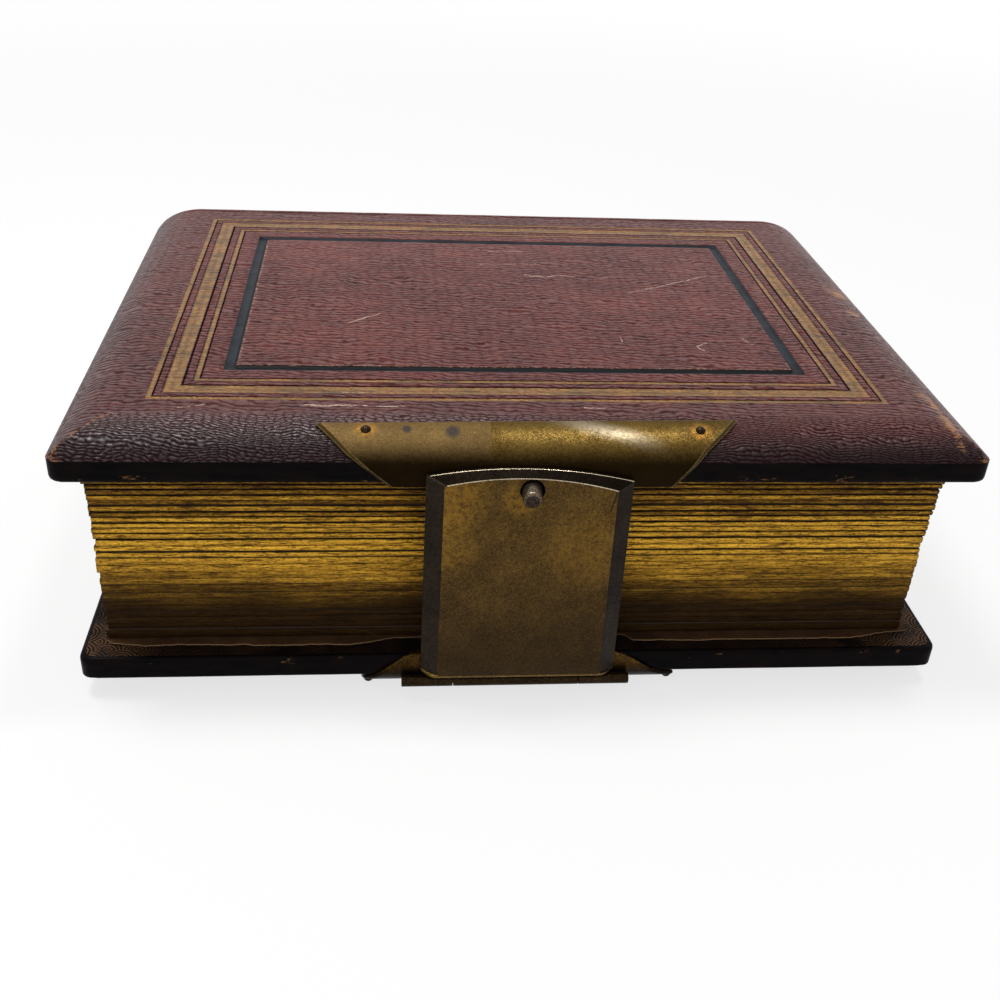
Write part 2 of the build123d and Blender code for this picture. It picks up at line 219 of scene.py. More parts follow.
def ramp(value, *stops):
    node = put("ShaderNodeValToRGB", {0: value})
    marks = node.color_ramp.elements
    while len(marks) < len(stops):
        marks.new(0.5)
    # the places first, because a mark that moves may change its number
    for mark, (at, colour) in zip(marks, stops):
        mark.position = at
    for mark, (at, colour) in zip(marks, stops):
        mark.color = (*colour, 1)
    return node.outputs["Color"]


def layered(colour, *layers):
    # each layer is an amount and the colour that it brings
    for amount, over in layers:
        ready = [c if isinstance(c, bpy.types.NodeSocket) else (*c, 1) for c in (colour, over)]
        colour = put("ShaderNodeMix", {0: amount, 6: ready[0], 7: ready[1]}, data_type="RGBA").outputs[2]
    return colour


def blended(amount, first, second):
    return Field(put("ShaderNodeMix", {0: amount, 2: first, 3: second}, data_type="FLOAT").outputs[0])


def raised(height, distance, strength=1.0, under=None):
    sockets = {"Height": height, "Distance": distance, "Strength": strength}
    if under is not None:
        sockets["Normal"] = under
    return put("ShaderNodeBump", sockets).outputs[0]


# mesh helpers
def softNoise(x, y, seed=0.0):
    # smooth random heights from -1 to 1 on cells of one unit
    column, row = np.floor(x), np.floor(y)
    u, v = x - column, y - row
    u, v = u * u * (3 - 2 * u), v * v * (3 - 2 * v)

    def corner(i, j):
        spin = np.sin((column + i) * 127.1 + (row + j) * 311.7 + seed * 74.7) * 43758.5453
        return 2 * (spin - np.floor(spin)) - 1

    near = corner(0, 0) * (1 - u) + corner(1, 0) * u
    far = corner(0, 1) * (1 - u) + corner(1, 1) * u
    return near * (1 - v) + far * v


def bell(distance, width):
    # 1 at no distance, falling away smoothly
    return np.exp(-((distance / width) ** 2))


def makePiece(name, points, faces, materials, faceSlots=None, attributes=None):
    mesh = bpy.data.meshes.new(name)
    mesh.from_pydata([tuple(p) for p in points], [], faces)
    for material in materials:
        mesh.materials.append(material)
    if faceSlots is not None:
        mesh.polygons.foreach_set("material_index", np.array(faceSlots, np.int32))
    mesh.polygons.foreach_set("use_smooth", [True] * len(mesh.polygons))
    for key, values in (attributes or {}).items():
        layer = mesh.attributes.new(key, "FLOAT", "POINT")
        layer.data.foreach_set("value", np.array(values, np.float32))
    mesh.update()
    piece = bpy.data.objects.new(name, mesh)
    bpy.context.scene.collection.objects.link(piece)
    return piece


def gridFaces(rows, columns, start=0, turned=False):
    at = start + np.arange(rows * columns).reshape(rows, columns)
    quads = np.stack([at[:-1, :-1], at[:-1, 1:], at[1:, 1:], at[1:, :-1]], -1).reshape(-1, 4)
    return (quads[:, ::-1] if turned else quads).tolist()


def rimLoop(rows, columns):
    # the numbers of a grid's outer points, once round
    at = np.arange(rows * columns).reshape(rows, columns)
    return np.concatenate([at[0, :-1], at[:-1, -1], at[-1, :0:-1], at[:0:-1, 0]])


def slabFaces(rows, columns, turned=False):
    # a closed slab from two grids of the same size, its outer skin first, or its inner one when turned
    count = rows * columns
    loop = rimLoop(rows, columns)
    after = np.roll(loop, -1)
    sides = np.stack([loop, loop + count, after + count, after], -1)
    if turned:
        sides = np.roll(sides[:, ::-1], 1, axis=1)
    return gridFaces(rows, columns, 0, turned) + gridFaces(rows, columns, count, not turned) + sides.tolist()


def slabPoints(outer, inner):
    return np.concatenate([np.array(outer).reshape(-1, 3), np.array(inner).reshape(-1, 3)])


def bandFaces(first, second, count):
    # quads between two rings of the same number of points, given by where each ring starts
    here = first + np.arange(count)
    there = second + np.arange(count)
    return np.stack([here, np.roll(here, -1), np.roll(there, -1), there], -1).tolist()


def gridSteps(low, high, step, extra):
    # even steps from low to high, with the extra places put in exactly
    even = np.linspace(low, high, max(2, round((high - low) / step) + 1))
    extra = np.array(sorted(e for e in extra if low < e < high))
    clear = np.abs(even[:, None] - extra[None, :]).min(axis=1) > 0.45 * step
    clear[0] = clear[-1] = True
    return np.union1d(even[clear], extra)


def sharpEdges(piece, degrees):
    # flat facets stay flat, gentle bends stay smooth
    work = bmesh.new()
    work.from_mesh(piece.data)
    bmesh.ops.recalc_face_normals(work, faces=work.faces)
    for edge in work.edges:
        if len(edge.link_faces) == 2:
            edge.smooth = edge.calc_face_angle() < math.radians(degrees)
    work.to_mesh(piece.data)
    work.free()


# tooling on the front cover: every size is measured inwards from the outer gilt line
tooling = {
    "halfLength": 63.6 * mm,
    "halfDepth": 46.2 * mm,
    "centre": (-0.2 * mm, 3.2 * mm),
    "thinOuter": (0.0, 0.75),     # these four from and to, in millimetres inwards
    "wide": (2.5, 4.95),
    "thinInner": (7.0, 7.7),
    "sunken": (11.4, 13.4),
    "slope": 0.14,                # of a stamped line's sides, in millimetres
    "pressed": 0.07 * mm,
    "sunkenDepth": 0.5 * mm,
}

leather = {
    "panelGrain": (1.12 * mm, 2.3 * mm, 0.42),    # row height, scale length and how much scales show
    "bevelGrain": (0.57 * mm, 1.45 * mm),         # the first two on the bevels along the fore edge
    "bevelShares": (0.54, 0.46),                  # how much scales show there, at the left and the right
    "bevelShine": (0.62, 0.24),                   # at the left and the right as well
    "rightHand": (-25 * mm, 35 * mm),             # where the left turns into the right
    "flatShine": 0.24,
    "roughness": (0.28, 0.48),
    "grainDepth": 0.15 * mm,
    "poreDepth": 0.05 * mm,
    "uneven": 0.07 * mm,
    "smoothFrom": 42 * mm,     # towards the spine the grain is handled flat from here on
    "smoothPatches": 90 * mm,
    "panelDark": (0.066, 0.015, 0.014),
    "panelLight": (0.132, 0.033, 0.027),
    # colour of painted shade in the grain's creases and in the stamped grooves
    "creaseShade": (0.012, 0.003, 0.004),
    # colour of the darker rims: partly grime, partly painted shade
    "rimDark": (0.008, 0.003, 0.0038),
    "worn": (0.30, 0.145, 0.062),
    "rubbed": (0.27, 0.115, 0.072),
    "scratch": (0.56, 0.40, 0.32),
    "handled": (0.050, 0.030, 0.031),
    "gilt": (0.36, 0.205, 0.056),
    "giltDull": (0.11, 0.064, 0.028),
    "sunken": (0.004, 0.006, 0.009),
    "sunkenLight": (0.018, 0.024, 0.033),
    "sunkenShadow": (0.0015, 0.001, 0.001),
    "frayedAndLit": (0.42, 0.25, 0.17),
}


def scaleRows(line, along, ripple, pitch, length, share):
    # rows of small scales; 0 in a crease and 1 on a ridge
    row = line / pitch + ripple * 1.4
    spot = put("ShaderNodeCombineXYZ", {0: along / length, 1: row}).outputs[0]
    sockets = {"Vector": spot, "Scale": 1.0, "Randomness": 0.85}
    cells = put("ShaderNodeTexVoronoi", sockets, voronoi_dimensions="2D", feature="DISTANCE_TO_EDGE")
    cell = eased(cells.outputs["Distance"], 0.0, 0.42)
    wave = calc("ABSOLUTE", calc("SINE", row * math.pi))
    return blended(share, wave, cell)


def grainField(along, across, where, scaly):
    # wavy rows of grain on the flat, smaller and sharper scales on the fore edge's bevels
    sway = 6.0 * mm * speckle(where, 12 * mm, 2, 0.5, stretch=(1, 1.5, 1.5))
    ripple = speckle(where, 2.1 * mm, 4, 0.6, stretch=(0.7, 1.2, 1.2))
    line = across + sway + along * 0.10
    onFlat = scaleRows(line, along, ripple, *leather["panelGrain"])
    share = eased(along, *leather["rightHand"], *leather["bevelShares"])
    onBevel = scaleRows(line, along, ripple, *leather["bevelGrain"], share)
    return blended(scaly, onFlat, onBevel)


def strokeGap(flat, start, end):
    # how far a place on a flat face is from a straight line between two points
    run = end - start
    off = vectorCalc("SUBTRACT", flat, start)
    reach = vectorCalc("DOT_PRODUCT", off, run / run.length_squared)
    share = put("ShaderNodeClamp", {0: reach}).outputs[0]
    return vectorCalc("DISTANCE", off, scaled(run, share))


# scratches on the front cover as runs of points, in millimetres from its middle, with a strength
scratches = (
    (0.8, ((-1.6, 31.2), (2.1, 31.4))),
    (0.8, ((3.2, 31.5), (6.0, 31.5))),
    (0.6, ((-3.9, 22.9), (3.6, 23.1))),
    (0.5, ((5.2, 23.2), (9.3, 23.5))),
    (0.9, ((5.3, 16.8), (9.4, 15.7), (12.6, 16.9), (16.1, 16.4))),
    (0.8, ((26.0, 7.6), (32.6, 10.8), (44.8, 17.9))),
    (0.8, ((-31.6, -10.2), (-25.2, -5.2))),
    (1.0, ((36.6, -17.9), (34.6, -19.2), (34.9, -20.9), (35.6, -21.3))),
    (0.6, ((20.3, -15.5), (20.5, -17.8))),
    (0.6, ((44.2, -15.3), (45.6, -18.6))),
    # the next three runs, just in front of the outer gilt line, are partly chips and partly painted glints
    (1.0, ((-38.4, -44.9), (-27.4, -44.7))),
    (1.0, ((-36.6, -45.25), (-29.8, -45.1))),
    (0.9, ((-25.8, -45.2), (-21.2, -45.0))),
    (0.7, ((-31.5, -40.0), (-27.0, -39.9))),
    (0.8, ((9.0, -45.3), (13.6, -45.2))),
    (0.6, ((-58.2, -46.0), (-54.0, -44.9))),
)


def scratchLines(where, fine):
    sockets = {"Vector": where, "Scale": 1 / (1.6 * mm), "Detail": 3}
    shaky = put("ShaderNodeTexNoise", sockets).outputs["Color"]
    shake = 1.1 * mm
    flat = vectorCalc("ADD", where, scaled(shaky, shake))
    flat = vectorCalc("MULTIPLY", flat, (1, 1, 0))
    mask = 0.0
    for strength, run in scratches:
        # the noise moves a place by half the shake on average
        places = [Vector((x * mm + shake / 2, y * mm + shake / 2, 0)) for x, y in run]
        for start, end in zip(places, places[1:]):
            line = eased(strokeGap(flat, start, end), 0.04 * mm, 0.20 * mm, strength, 0.0)
            mask = calc("MAXIMUM", mask, line)
    return mask * eased(fine, 0.38, 0.52)


def tooledAreas(x, y, fine, blotch):
    # what is stamped at a place, by how far inside the outer gilt line it lies, in millimetres
    cx, cy = tooling["centre"]
    insideX = tooling["halfLength"] - calc("ABSOLUTE", x - cx)
    insideY = tooling["halfDepth"] - calc("ABSOLUTE", y - cy)
    inside = calc("MINIMUM", insideX, insideY) / mm
    shaky = inside + (fine - 0.5) * 0.3
    wideLow, wideHigh = tooling["wide"]
    thinLow, thinHigh = tooling["thinInner"]
    outerHigh = tooling["thinOuter"][1]
    gold = band(shaky, *tooling["thinOuter"], 0.09)
    for part in ("wide", "thinInner"):
        gold = calc("MAXIMUM", gold, band(shaky, *tooling[part], 0.09))
    middle = (wideLow + wideHigh) / 2
    streak = band(shaky, middle - 0.45, middle + 0.25, 0.3)
    worn = fine * 0.6 + blotch * 0.5
    gold = gold * (1.0 - streak * 0.4) * eased(worn, 0.50, 0.70, 1.0, 0.25)
    # blind lines beside the gilt ones, darkened as painted shade in their grooves: place and half their width
    blind = 0.0
    for at, half in ((wideLow - 0.28, 0.06), (wideHigh + 0.34, 0.20), (outerHigh + 0.26, 0.15),
                     (thinLow - 0.24, 0.06), (thinHigh + 0.26, 0.15)):
        blind = calc("MAXIMUM", blind, band(shaky, at - half, at + half, 0.07))
    low, high = tooling["sunken"]
    sunk = band(inside, low, high, 0.05)
    nearSide = calc("GREATER_THAN", cy + cx, y + x * 0.6)
    # a lighter line along the panel's near edges: frayed leather with a painted highlight
    frayedAndLit = band(shaky, high + 0.05, high + 0.42, 0.1) * eased(fine, 0.46, 0.64, 0.0, 0.7) * nearSide
    shadow = band(shaky, high - 0.55, high + 0.04, 0.08) * nearSide * 0.92
    outside = eased(inside, -0.8, 0.2, 1.0, 0.0)
    return gold, blind, sunk, frayedAndLit, shadow, outside


def leatherMaterial(name, tooled, upright=False):
    material, shader = newMaterial(name)
    where = place()
    x, y, z = parted(where)
    wear, rim, scaly = (attribute(layer) for layer in ("wear", "rim", "scaly"))
    grain = grainField(x, z if upright else y + z * 0.45, where, scaly)
    fine = speckle(where, 0.42 * mm, 4, 0.6, stretch=(0.6, 1, 1))
    patch = speckle(where, 19 * mm, 5, 0.62, 0.4)
    blotch = speckle(where, 3.0 * mm, 5, 0.65, stretch=(0.5, 1, 1))
    tone = patch * 0.6 + blotch * 0.4
    colour = ramp(tone, (0.34, leather["panelDark"]), (0.62, leather["panelLight"]))
    # darker towards the rims: partly grime, partly painted shade on the bevels
    grimeAndShadeAt = rim + (blotch - 0.5) * 0.35
    colour = layered(colour, (eased(grimeAndShadeAt, 0.12, 0.86), leather["rimDark"]))
    hollow = grain + (fine - 0.5) * 0.45
    dash = eased(speckle(where, 1.3 * mm, 3, 0.6, stretch=(0.55, 1, 1)), 0.40, 0.60, 0.12, 0.72)
    # the grain's creases darkened: painted shade
    shadedCreases = eased(hollow, 0.15, 0.72, 1.0, 0.0) * blended(scaly, dash, 0.86)
    # scuffs show the tan skin under the dye, first on the ridges
    rough = (fine - 0.5) * 1.3 + (blotch - 0.5) * 1.2
    scuff = eased(wear + rough, 0.42, 0.72, 0.0, 0.9)
    rub = eased(fine * 0.45 + blotch * 0.55, 0.57, 0.70, 0.0, 0.5) * (1.0 - rim)
    relief = grain
    if not upright:
        handled = y + leather["smoothPatches"] * (patch - 0.5)
        kept = blended(scaly, eased(handled, 0.0, leather["smoothFrom"], 1.0, 0.42), 1.0)
        shadedCreases = shadedCreases * kept
        relief = relief * kept
    if tooled:
        gold, blind, sunk, frayedAndLit, shadow, outside = tooledAreas(x, y, fine, blotch)
        colour = layered(colour, (outside * 0.32, leather["handled"]))
        bare = 1.0 - calc("MAXIMUM", sunk, gold)
        shadedCreases = shadedCreases * bare
        relief = relief * bare - blind * 0.9
    colour = layered(colour, (shadedCreases, leather["creaseShade"]), (rub, leather["rubbed"]))
    roughness = eased(fine, 0.3, 0.75, *leather["roughness"])
    shine = blended(scaly, leather["flatShine"], eased(x, *leather["rightHand"], *leather["bevelShine"]))
    shine = shine * eased(hollow, 0.30, 0.80, 0.08, 1.0) * eased(rim, 0.55, 0.95, 1.0, 0.25)
    if tooled:
        gilt = ramp(blotch, (0.36, leather["giltDull"]), (0.62, leather["gilt"]))
        inky = ramp(blotch, (0.35, leather["sunken"]), (0.7, leather["sunkenLight"]))
        colour = layered(colour, (gold, gilt), (blind * 0.95, leather["creaseShade"]), (sunk, inky),
                         (shadow, leather["sunkenShadow"]), (frayedAndLit, leather["frayedAndLit"]))
        roughness = blended(sunk, roughness, 0.5)
        shine = blended(sunk, shine, 0.12) * (1.0 - blind)
        dress(shader, metal=gold * 0.4)
    colour = layered(colour, (scuff, leather["worn"]))
    if tooled:
        colour = layered(colour, (scratchLines(where, fine), leather["scratch"]))
    relief = raised(fine, leather["poreDepth"], 0.7, raised(relief, leather["grainDepth"], 0.9))
    dress(shader, colour=colour, roughness=roughness, shine=shine, relief=relief)
    return material


# the smooth, blackened edge of the covers, chipped here and there along its foot
edging = {
    "dark": (0.001, 0.001, 0.0014),
    "light": (0.006, 0.003, 0.003),
    "chip": (0.20, 0.10, 0.040),
    "chips": (0.81, 0.90),    # lower values bring more chips
}


def edgeMaterial():
    material, shader = newMaterial("leatherEdge")
    where = place()
    streak = speckle(where, 1.6 * mm, 5, 0.6, stretch=(0.3, 0.3, 1.2))
    chip = speckle(where, 1.8 * mm, 6, 0.7, stretch=(0.4, 0.4, 1))
    broad = speckle(where, 14 * mm, 2, 0.5)
    chipAt = chip + attribute("rubbed") * 0.20 + (broad - 0.5) * 0.5
    colour = ramp(streak, (0.35, edging["dark"]), (0.72, edging["light"]))
    colour = layered(colour, (eased(chipAt, *edging["chips"], 0.0, 0.8), edging["chip"]))
    dress(shader, colour=colour, roughness=eased(streak, 0.3, 0.7, 0.30, 0.46), shine=0.03,
          relief=raised(streak, 0.05 * mm, 0.6))
    return material


# the turned-in leather, stamped with rows of scallops and darkened, partly by handling and partly as painted
# shade
scallops = {
    "width": 5.2 * mm,
    "rise": 2.6 * mm,
    "line": 0.62 * mm,
    "gold": (0.115, 0.058, 0.024),
    "dark": (0.003, 0.002, 0.002),
    "light": (0.016, 0.008, 0.005),
    "dimmedUpTo": 54 * mm,    # the gilding shows fully only towards the corners and ends; nearer the middle it is worn and in painted shade
    "keptTo": 75 * mm,
}


def turnInMaterial():
    material, shader = newMaterial("turnInScallops")
    where = place()
    x, y = parted(where)[:2]
    inX = coverHigh.x - calc("ABSOLUTE", x)
    inY = coverHigh.y - calc("ABSOLUTE", y)
    along = blended(calc("LESS_THAN", inX, inY), x, y)
    inward = calc("MINIMUM", inX, inY)
    row = calc("FLOOR", inward / scallops["rise"])
    # every other row is moved by half a scallop; the whole steps added keep the sum above zero
    step = along / scallops["width"] + calc("MODULO", row, 2.0) * 0.5
    across = (calc("FRACT", step + 40.0) - 0.5) * scallops["width"]
    up = inward - row * scallops["rise"]
    reach = calc("SQRT", across * across + up * up)
    rings = calc("SINE", 2 * math.pi / scallops["line"] * reach)
    fine = speckle(where, 0.35 * mm, 4, 0.6)
    patch = speckle(where, 6 * mm, 4, 0.6, 0.5)
    # less gilding towards the middle: partly wear, partly painted shade
    kept = eased(calc("ABSOLUTE", x), scallops["dimmedUpTo"], scallops["keptTo"], 0.10, 1.0)
    kept = kept * eased(patch, 0.33, 0.60, 0.15, 1.0)
    gold = eased(rings + (fine - 0.5) * 1.2, -0.1, 0.5) * kept
    ground = ramp(patch, (0.35, scallops["dark"]), (0.7, scallops["light"]))
    dress(shader, colour=layered(ground, (gold, scallops["gold"])), metal=gold * 0.35, shine=0.05,
          roughness=eased(fine, 0.3, 0.7, 0.42, 0.62),
          relief=raised(fine, 0.03 * mm, 0.6, raised(rings, 0.07 * mm, 0.7)))
    return material


# the covers: one closed skin each, made as the front cover and turned over for the back one
cover = {
    "bevelWidth": 9.5 * mm,
    "bevelDrop": 4.1 * mm,
    "foreRound": 2.3 * mm,
    "spineRound": 4.2 * mm,
    "spineEase": 0.9 * mm,    # rounding of the top edge along the spine
    "mitreEase": 1.0 * mm,
    "innerEase": 0.9 * mm,
    "turnIn": 12 * mm,
    "turnInStep": 0.5 * mm,
    "rimRows": (0.25 * mm, 0.7 * mm),    # extra rows of points beside the outline
}
bevelRadius = (cover["bevelWidth"] ** 2 + cover["bevelDrop"] ** 2) / (2 * cover["bevelDrop"])


def toolingMarks():
    # places along and across the cover where the stamped lines begin and end
    cx, cy = tooling["centre"]
    marksX, marksY = [], []
    for part in ("thinOuter", "wide", "thinInner", "sunken"):
        for edge, turn in zip(tooling[part], (1, -1)):
            for inset in (edge * mm, (edge + tooling["slope"] * turn) * mm):
                marksX += [cx + s * (tooling["halfLength"] - inset) for s in (-1, 1)]
                marksY += [cy + s * (tooling["halfDepth"] - inset) for s in (-1, 1)]
    return marksX, marksY


def stamped(inside, part):
    (low, high), slope = tooling[part], tooling["slope"]
    return np.clip((inside - low) / slope, 0, 1) * np.clip((high - inside) / slope, 0, 1)


def roundedPlan(gridX, gridY):
    # the square grid's corners drawn in to the cover's rounded ones
    half, fore, back = coverHigh.x, coverLow.y, coverHigh.y
    x, y = gridX, gridY
    for side in (-1, 1):
        for edge, turn, corner in ((fore, -1, cover["foreRound"]), (back, 1, cover["spineRound"])):
            a = (side * gridX - (half - corner)) / corner
            b = (turn * (gridY - edge) + corner) / corner
            inCorner = (a > 0) & (b > 0)
            a, b = np.clip(a, 0, 1), np.clip(b, 0, 1)
            x = np.where(inCorner, side * (half - corner + corner * a * np.sqrt(1 - b * b / 2)), x)
            y = np.where(inCorner, edge + turn * (corner * b * np.sqrt(1 - a * a / 2) - corner), y)
    return x, y


def edgeReach(fromSide, fromFore):
    # distance from the rounded outline, with the mitres eased
    corner = cover["foreRound"]
    soft = cover["mitreEase"] * np.clip((np.minimum(fromSide, fromFore) - corner) / corner, 0, 1) + 1e-9
    share = np.clip(0.5 + 0.5 * (fromFore - fromSide) / soft, 0, 1)
    reach = fromFore * (1 - share) + fromSide * share - soft * share * (1 - share)
    away = np.hypot(np.clip(corner - fromSide, 0, None), np.clip(corner - fromFore, 0, None))
    inCorner = (fromSide < corner) & (fromFore < corner)
    return np.where(inCorner, np.clip(corner - away, 0, None), reach)


def frontWear(x, y, fromSide, fromFore, fromBack, reach):
    # along the mitres, in patches down the right side, along the spine and at the fore corners
    onBevel = (reach < cover["bevelWidth"]) & (reach > 0.5 * mm)
    wear = 0.55 * bell(fromSide - fromFore, 0.9 * mm) * onBevel * np.where(x < 0, 1.0, 0.45)
    patchy = np.clip(softNoise(x / (3 * mm), y / (4.5 * mm), 8) * 1.8 + 0.25, 0, 1)
    side = 0.72 * bell(fromSide - 5.2 * mm, 2.6 * mm) * (x > 0) * patchy * (y < 25 * mm)
    rubbed = 0.5 * bell(fromBack, 1.6 * mm) * np.clip(0.6 + softNoise(x / (9 * mm), y / (9 * mm), 9), 0, 1)
    tips = 0.62 * bell(np.hypot(fromSide, fromFore), 3.6 * mm)
    return np.maximum.reduce([wear, side, rubbed, tips])


def coverTop(columnStep, rowStep, front):
    # the outer face as a grid of points, with its values for the material
    half, fore, back = coverHigh.x, coverLow.y, coverHigh.y
    marksX, marksY = toolingMarks() if front else ([], [])
    for near in cover["rimRows"]:
        marksX += [-half + near, half - near]
        marksY += [fore + near, back - near]
    alongX, alongY = gridSteps(-half, half, columnStep, marksX), gridSteps(fore, back, rowStep, marksY)
    gridX, gridY = np.meshgrid(alongX, alongY)
    x, y = roundedPlan(gridX, gridY)
    fromSide, fromFore, fromBack = half - np.abs(x), y - fore, back - y
    reach = edgeReach(fromSide, fromFore)
    lean = np.clip(cover["bevelWidth"] - reach, 0, None)
    z = coverHigh.z - bevelRadius + np.sqrt(bevelRadius ** 2 - lean ** 2)
    ease = cover["spineEase"]
    z = z - (ease - np.sqrt(np.clip(ease ** 2 - np.clip(ease - fromBack, 0, None) ** 2, 0, None)))
    # unevenness, tooling and wear
    calm = np.clip(reach / (0.6 * mm), 0, 1) * np.clip(fromBack / (1.0 * mm), 0, 1)
    rim = np.clip(1 - reach / (cover["bevelWidth"] * 1.15), 0, 1)
    scaly = np.clip((rim - 0.04) / 0.22, 0, 1) * np.clip(0.5 + (fromSide - fromFore) / (0.8 * mm), 0, 1)
    wear = np.zeros_like(x)
    press = np.zeros_like(x)
    if front:
        cx, cy = tooling["centre"]
        insideX, insideY = tooling["halfLength"] - np.abs(x - cx), tooling["halfDepth"] - np.abs(y - cy)
        inside = np.minimum(insideX, insideY) / mm
        for part in ("thinOuter", "wide", "thinInner"):
            press = press + tooling["pressed"] * stamped(inside, part)
            calm = calm * (1 - 0.55 * stamped(inside, part))
        press = press + tooling["sunkenDepth"] * stamped(inside, "sunken")
        calm = calm * (1 - stamped(inside, "sunken"))
        # the rims are darkened most along the fore edge, and lower down at its right, partly grime and partly
        # painted shade
        rim = rim * np.where(fromFore < fromSide, 1.0, 0.55)
        rim = rim ** (1 + 0.8 * np.clip((x + 25 * mm) / (60 * mm), 0, 1))
        wear = frontWear(x, y, fromSide, fromFore, fromBack, reach)
    uneven = softNoise(x / (5.5 * mm), y / (3.2 * mm), 14)
    uneven = uneven + 0.5 * softNoise(x / (2.3 * mm), y / (1.5 * mm), 15)
    z = z - press - leather["uneven"] * (0.7 - 0.45 * uneven) * calm
    return gridX, gridY, np.stack([x, y, z], -1), {"wear": wear, "rim": rim, "scaly": scaly}


def coverSkin(columnStep, rowStep, turnInRows, front):
    gridX, gridY, top, values = coverTop(columnStep, rowStep, front)
    rows, columns = gridX.shape
    points = [top.reshape(-1, 3)]
    faces = gridFaces(rows, columns)
    slots = [0] * len(faces)
    rubbed = [np.zeros(rows * columns)]
    previous = rimLoop(rows, columns)
    count, total = len(previous), rows * columns
    edge = points[0][previous]
    # down the upright edge, round under it, and in over the inner face to a window round the pastedown
    fore, back, low = coverLow.y, coverHigh.y, coverLow.z
    middle, halfDeep, turned = (back + fore) / 2, (back - fore) / 2, cover["turnIn"]
    windowX = gridX.ravel()[previous] * (coverHigh.x - turned) / coverHigh.x
    windowY = middle + (gridY.ravel()[previous] - middle) * (halfDeep - turned) / halfDeep
    # each ring of points: share of the way down, how far inwards and how far back up
    soft = cover["innerEase"]
    rings = [(down, 0.0, 0.0) for down in (0.06, 0.2, 0.42, 0.62, 0.78)]
    rings += [(0.88, 0.08 * soft, 0.0), (0.95, 0.3 * soft, 0.0), (0.987, 0.62 * soft, 0.0), (1.0, soft, 0.0)]
    edgeRings = len(rings)
    rings += [(1.0, soft + (turned - soft) * (k + 1) / turnInRows, 0.0) for k in range(turnInRows)]
    rings.append((1.0, turned, cover["turnInStep"]))
    for number, (down, inward, lift) in enumerate(rings):
        share = inward / turned
        x = edge[:, 0] * (1 - share) + windowX * share
        y = edge[:, 1] * (1 - share) + windowY * share
        points.append(np.stack([x, y, edge[:, 2] + (low - edge[:, 2]) * down + lift], -1))
        here = total + np.arange(count)
        total += count
        faces += np.stack([previous, here, np.roll(here, -1), np.roll(previous, -1)], -1).tolist()
        slots += [1 if number < edgeRings else 2] * count
        rubbed.append(np.full(count, 1.0 if 0.6 < down < 1 else 0.25))
        previous = here
    faces.append(previous.tolist()[::-1])
    slots.append(2)
    below = np.zeros(len(rings) * count)
    values = {key: np.concatenate([value.ravel(), below]) for key, value in values.items()}
    values["rubbed"] = np.concatenate(rubbed)
    points = np.concatenate(points)
    if not front:
        points[:, 2] = 2 * middleHeight - points[:, 2]
        faces = [face[::-1] for face in faces]
    return points, faces, slots, values


leatherTooled = leatherMaterial("leatherTooled", True)
leatherPlain = leatherMaterial("leatherPlain", False)
leatherSpine = leatherMaterial("leatherSpine", False, True)
leatherEdge = edgeMaterial()
turnIn = turnInMaterial()


def makeCovers():
    points, faces, slots, values = coverSkin(1.0 * mm, 0.37 * mm, 14, True)
    front = makePiece("frontCoverLeather", points, faces, [leatherTooled, leatherEdge, turnIn], slots, values)
    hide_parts("front_cover_leather")
    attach(front, "front_cover")
    points, faces, slots, values = coverSkin(1.4 * mm, 0.6 * mm, 22, False)
    rear = makePiece("backCoverLeather", points, faces, [leatherPlain, leatherEdge, turnIn], slots, values)
    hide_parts("back_cover_leather")
    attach(rear, "back_cover")
    print("covers made:", len(front.data.polygons), len(rear.data.polygons), "faces")


makeCovers()


# the leaves, each a slab of card with soft gilt edges
leaves = {
    "count": 28,
    "thinning": (0.8, 1.25),     # from the top leaf to the lowest
    "edgeRound": 0.15 * mm,
    "unevenFront": 0.30 * mm,
    "unevenEnds": (0.5 * mm, 0.3 * mm),     # at the left and at the right
    "backSag": 1.9 * mm,
    "openSeams": (0, 1, 2, 3, 4, 6, 7, 8, 9, 11, 12, 14),    # gaps under these leaves, from the top, painted dark as shade
    "seamGap": 0.11 * mm,
    "shutGap": 0.015 * mm,
    "stepIn": 0.112 * mm,        # by which the right ends step back at each dark gap
    "faintSeams": (0.1, 0.5),    # how dark the painted shade in the other seams is
    "roundSpread": (0.6, 1.6),
    "unlike": (0.8, 1.25),       # thinnest and thickest leaf
    "sway": 0.05 * mm,
    # height and inset of the six rings of points round a leaf, as shares
    "profile": ((0.0, 1.0), (0.12, 0.35), (0.34, 0.0), (0.66, 0.0), (0.88, 0.35), (1.0, 1.0)),
    "topSpread": (1.3, 1.0, 0.7, 0.45, 0.25),     # of the top leaves to the left, in millimetres
    "frontSteps": 120,
    "sideSteps": 40,
}


def leafPlan(left, right, fore, rear):
    # points once round a leaf, each with the direction in which its edge faces
    alongX = np.linspace(0, 1, leaves["frontSteps"])
    alongY = np.linspace(0, 1, leaves["sideSteps"])
    plan = [(left + (right - left) * s, fore, 0, -1) for s in alongX[:-1]]
    plan += [(right, fore + (rear - fore) * s, 1, 0) for s in alongY[:-1]]
    plan += [(right + (left - right) * s, rear, 0, 0) for s in np.linspace(0, 1, 12)[:-1]]
    plan += [(left, rear + (fore - rear) * s, -1, 0) for s in alongY[:-1]]
    return np.array(plan)


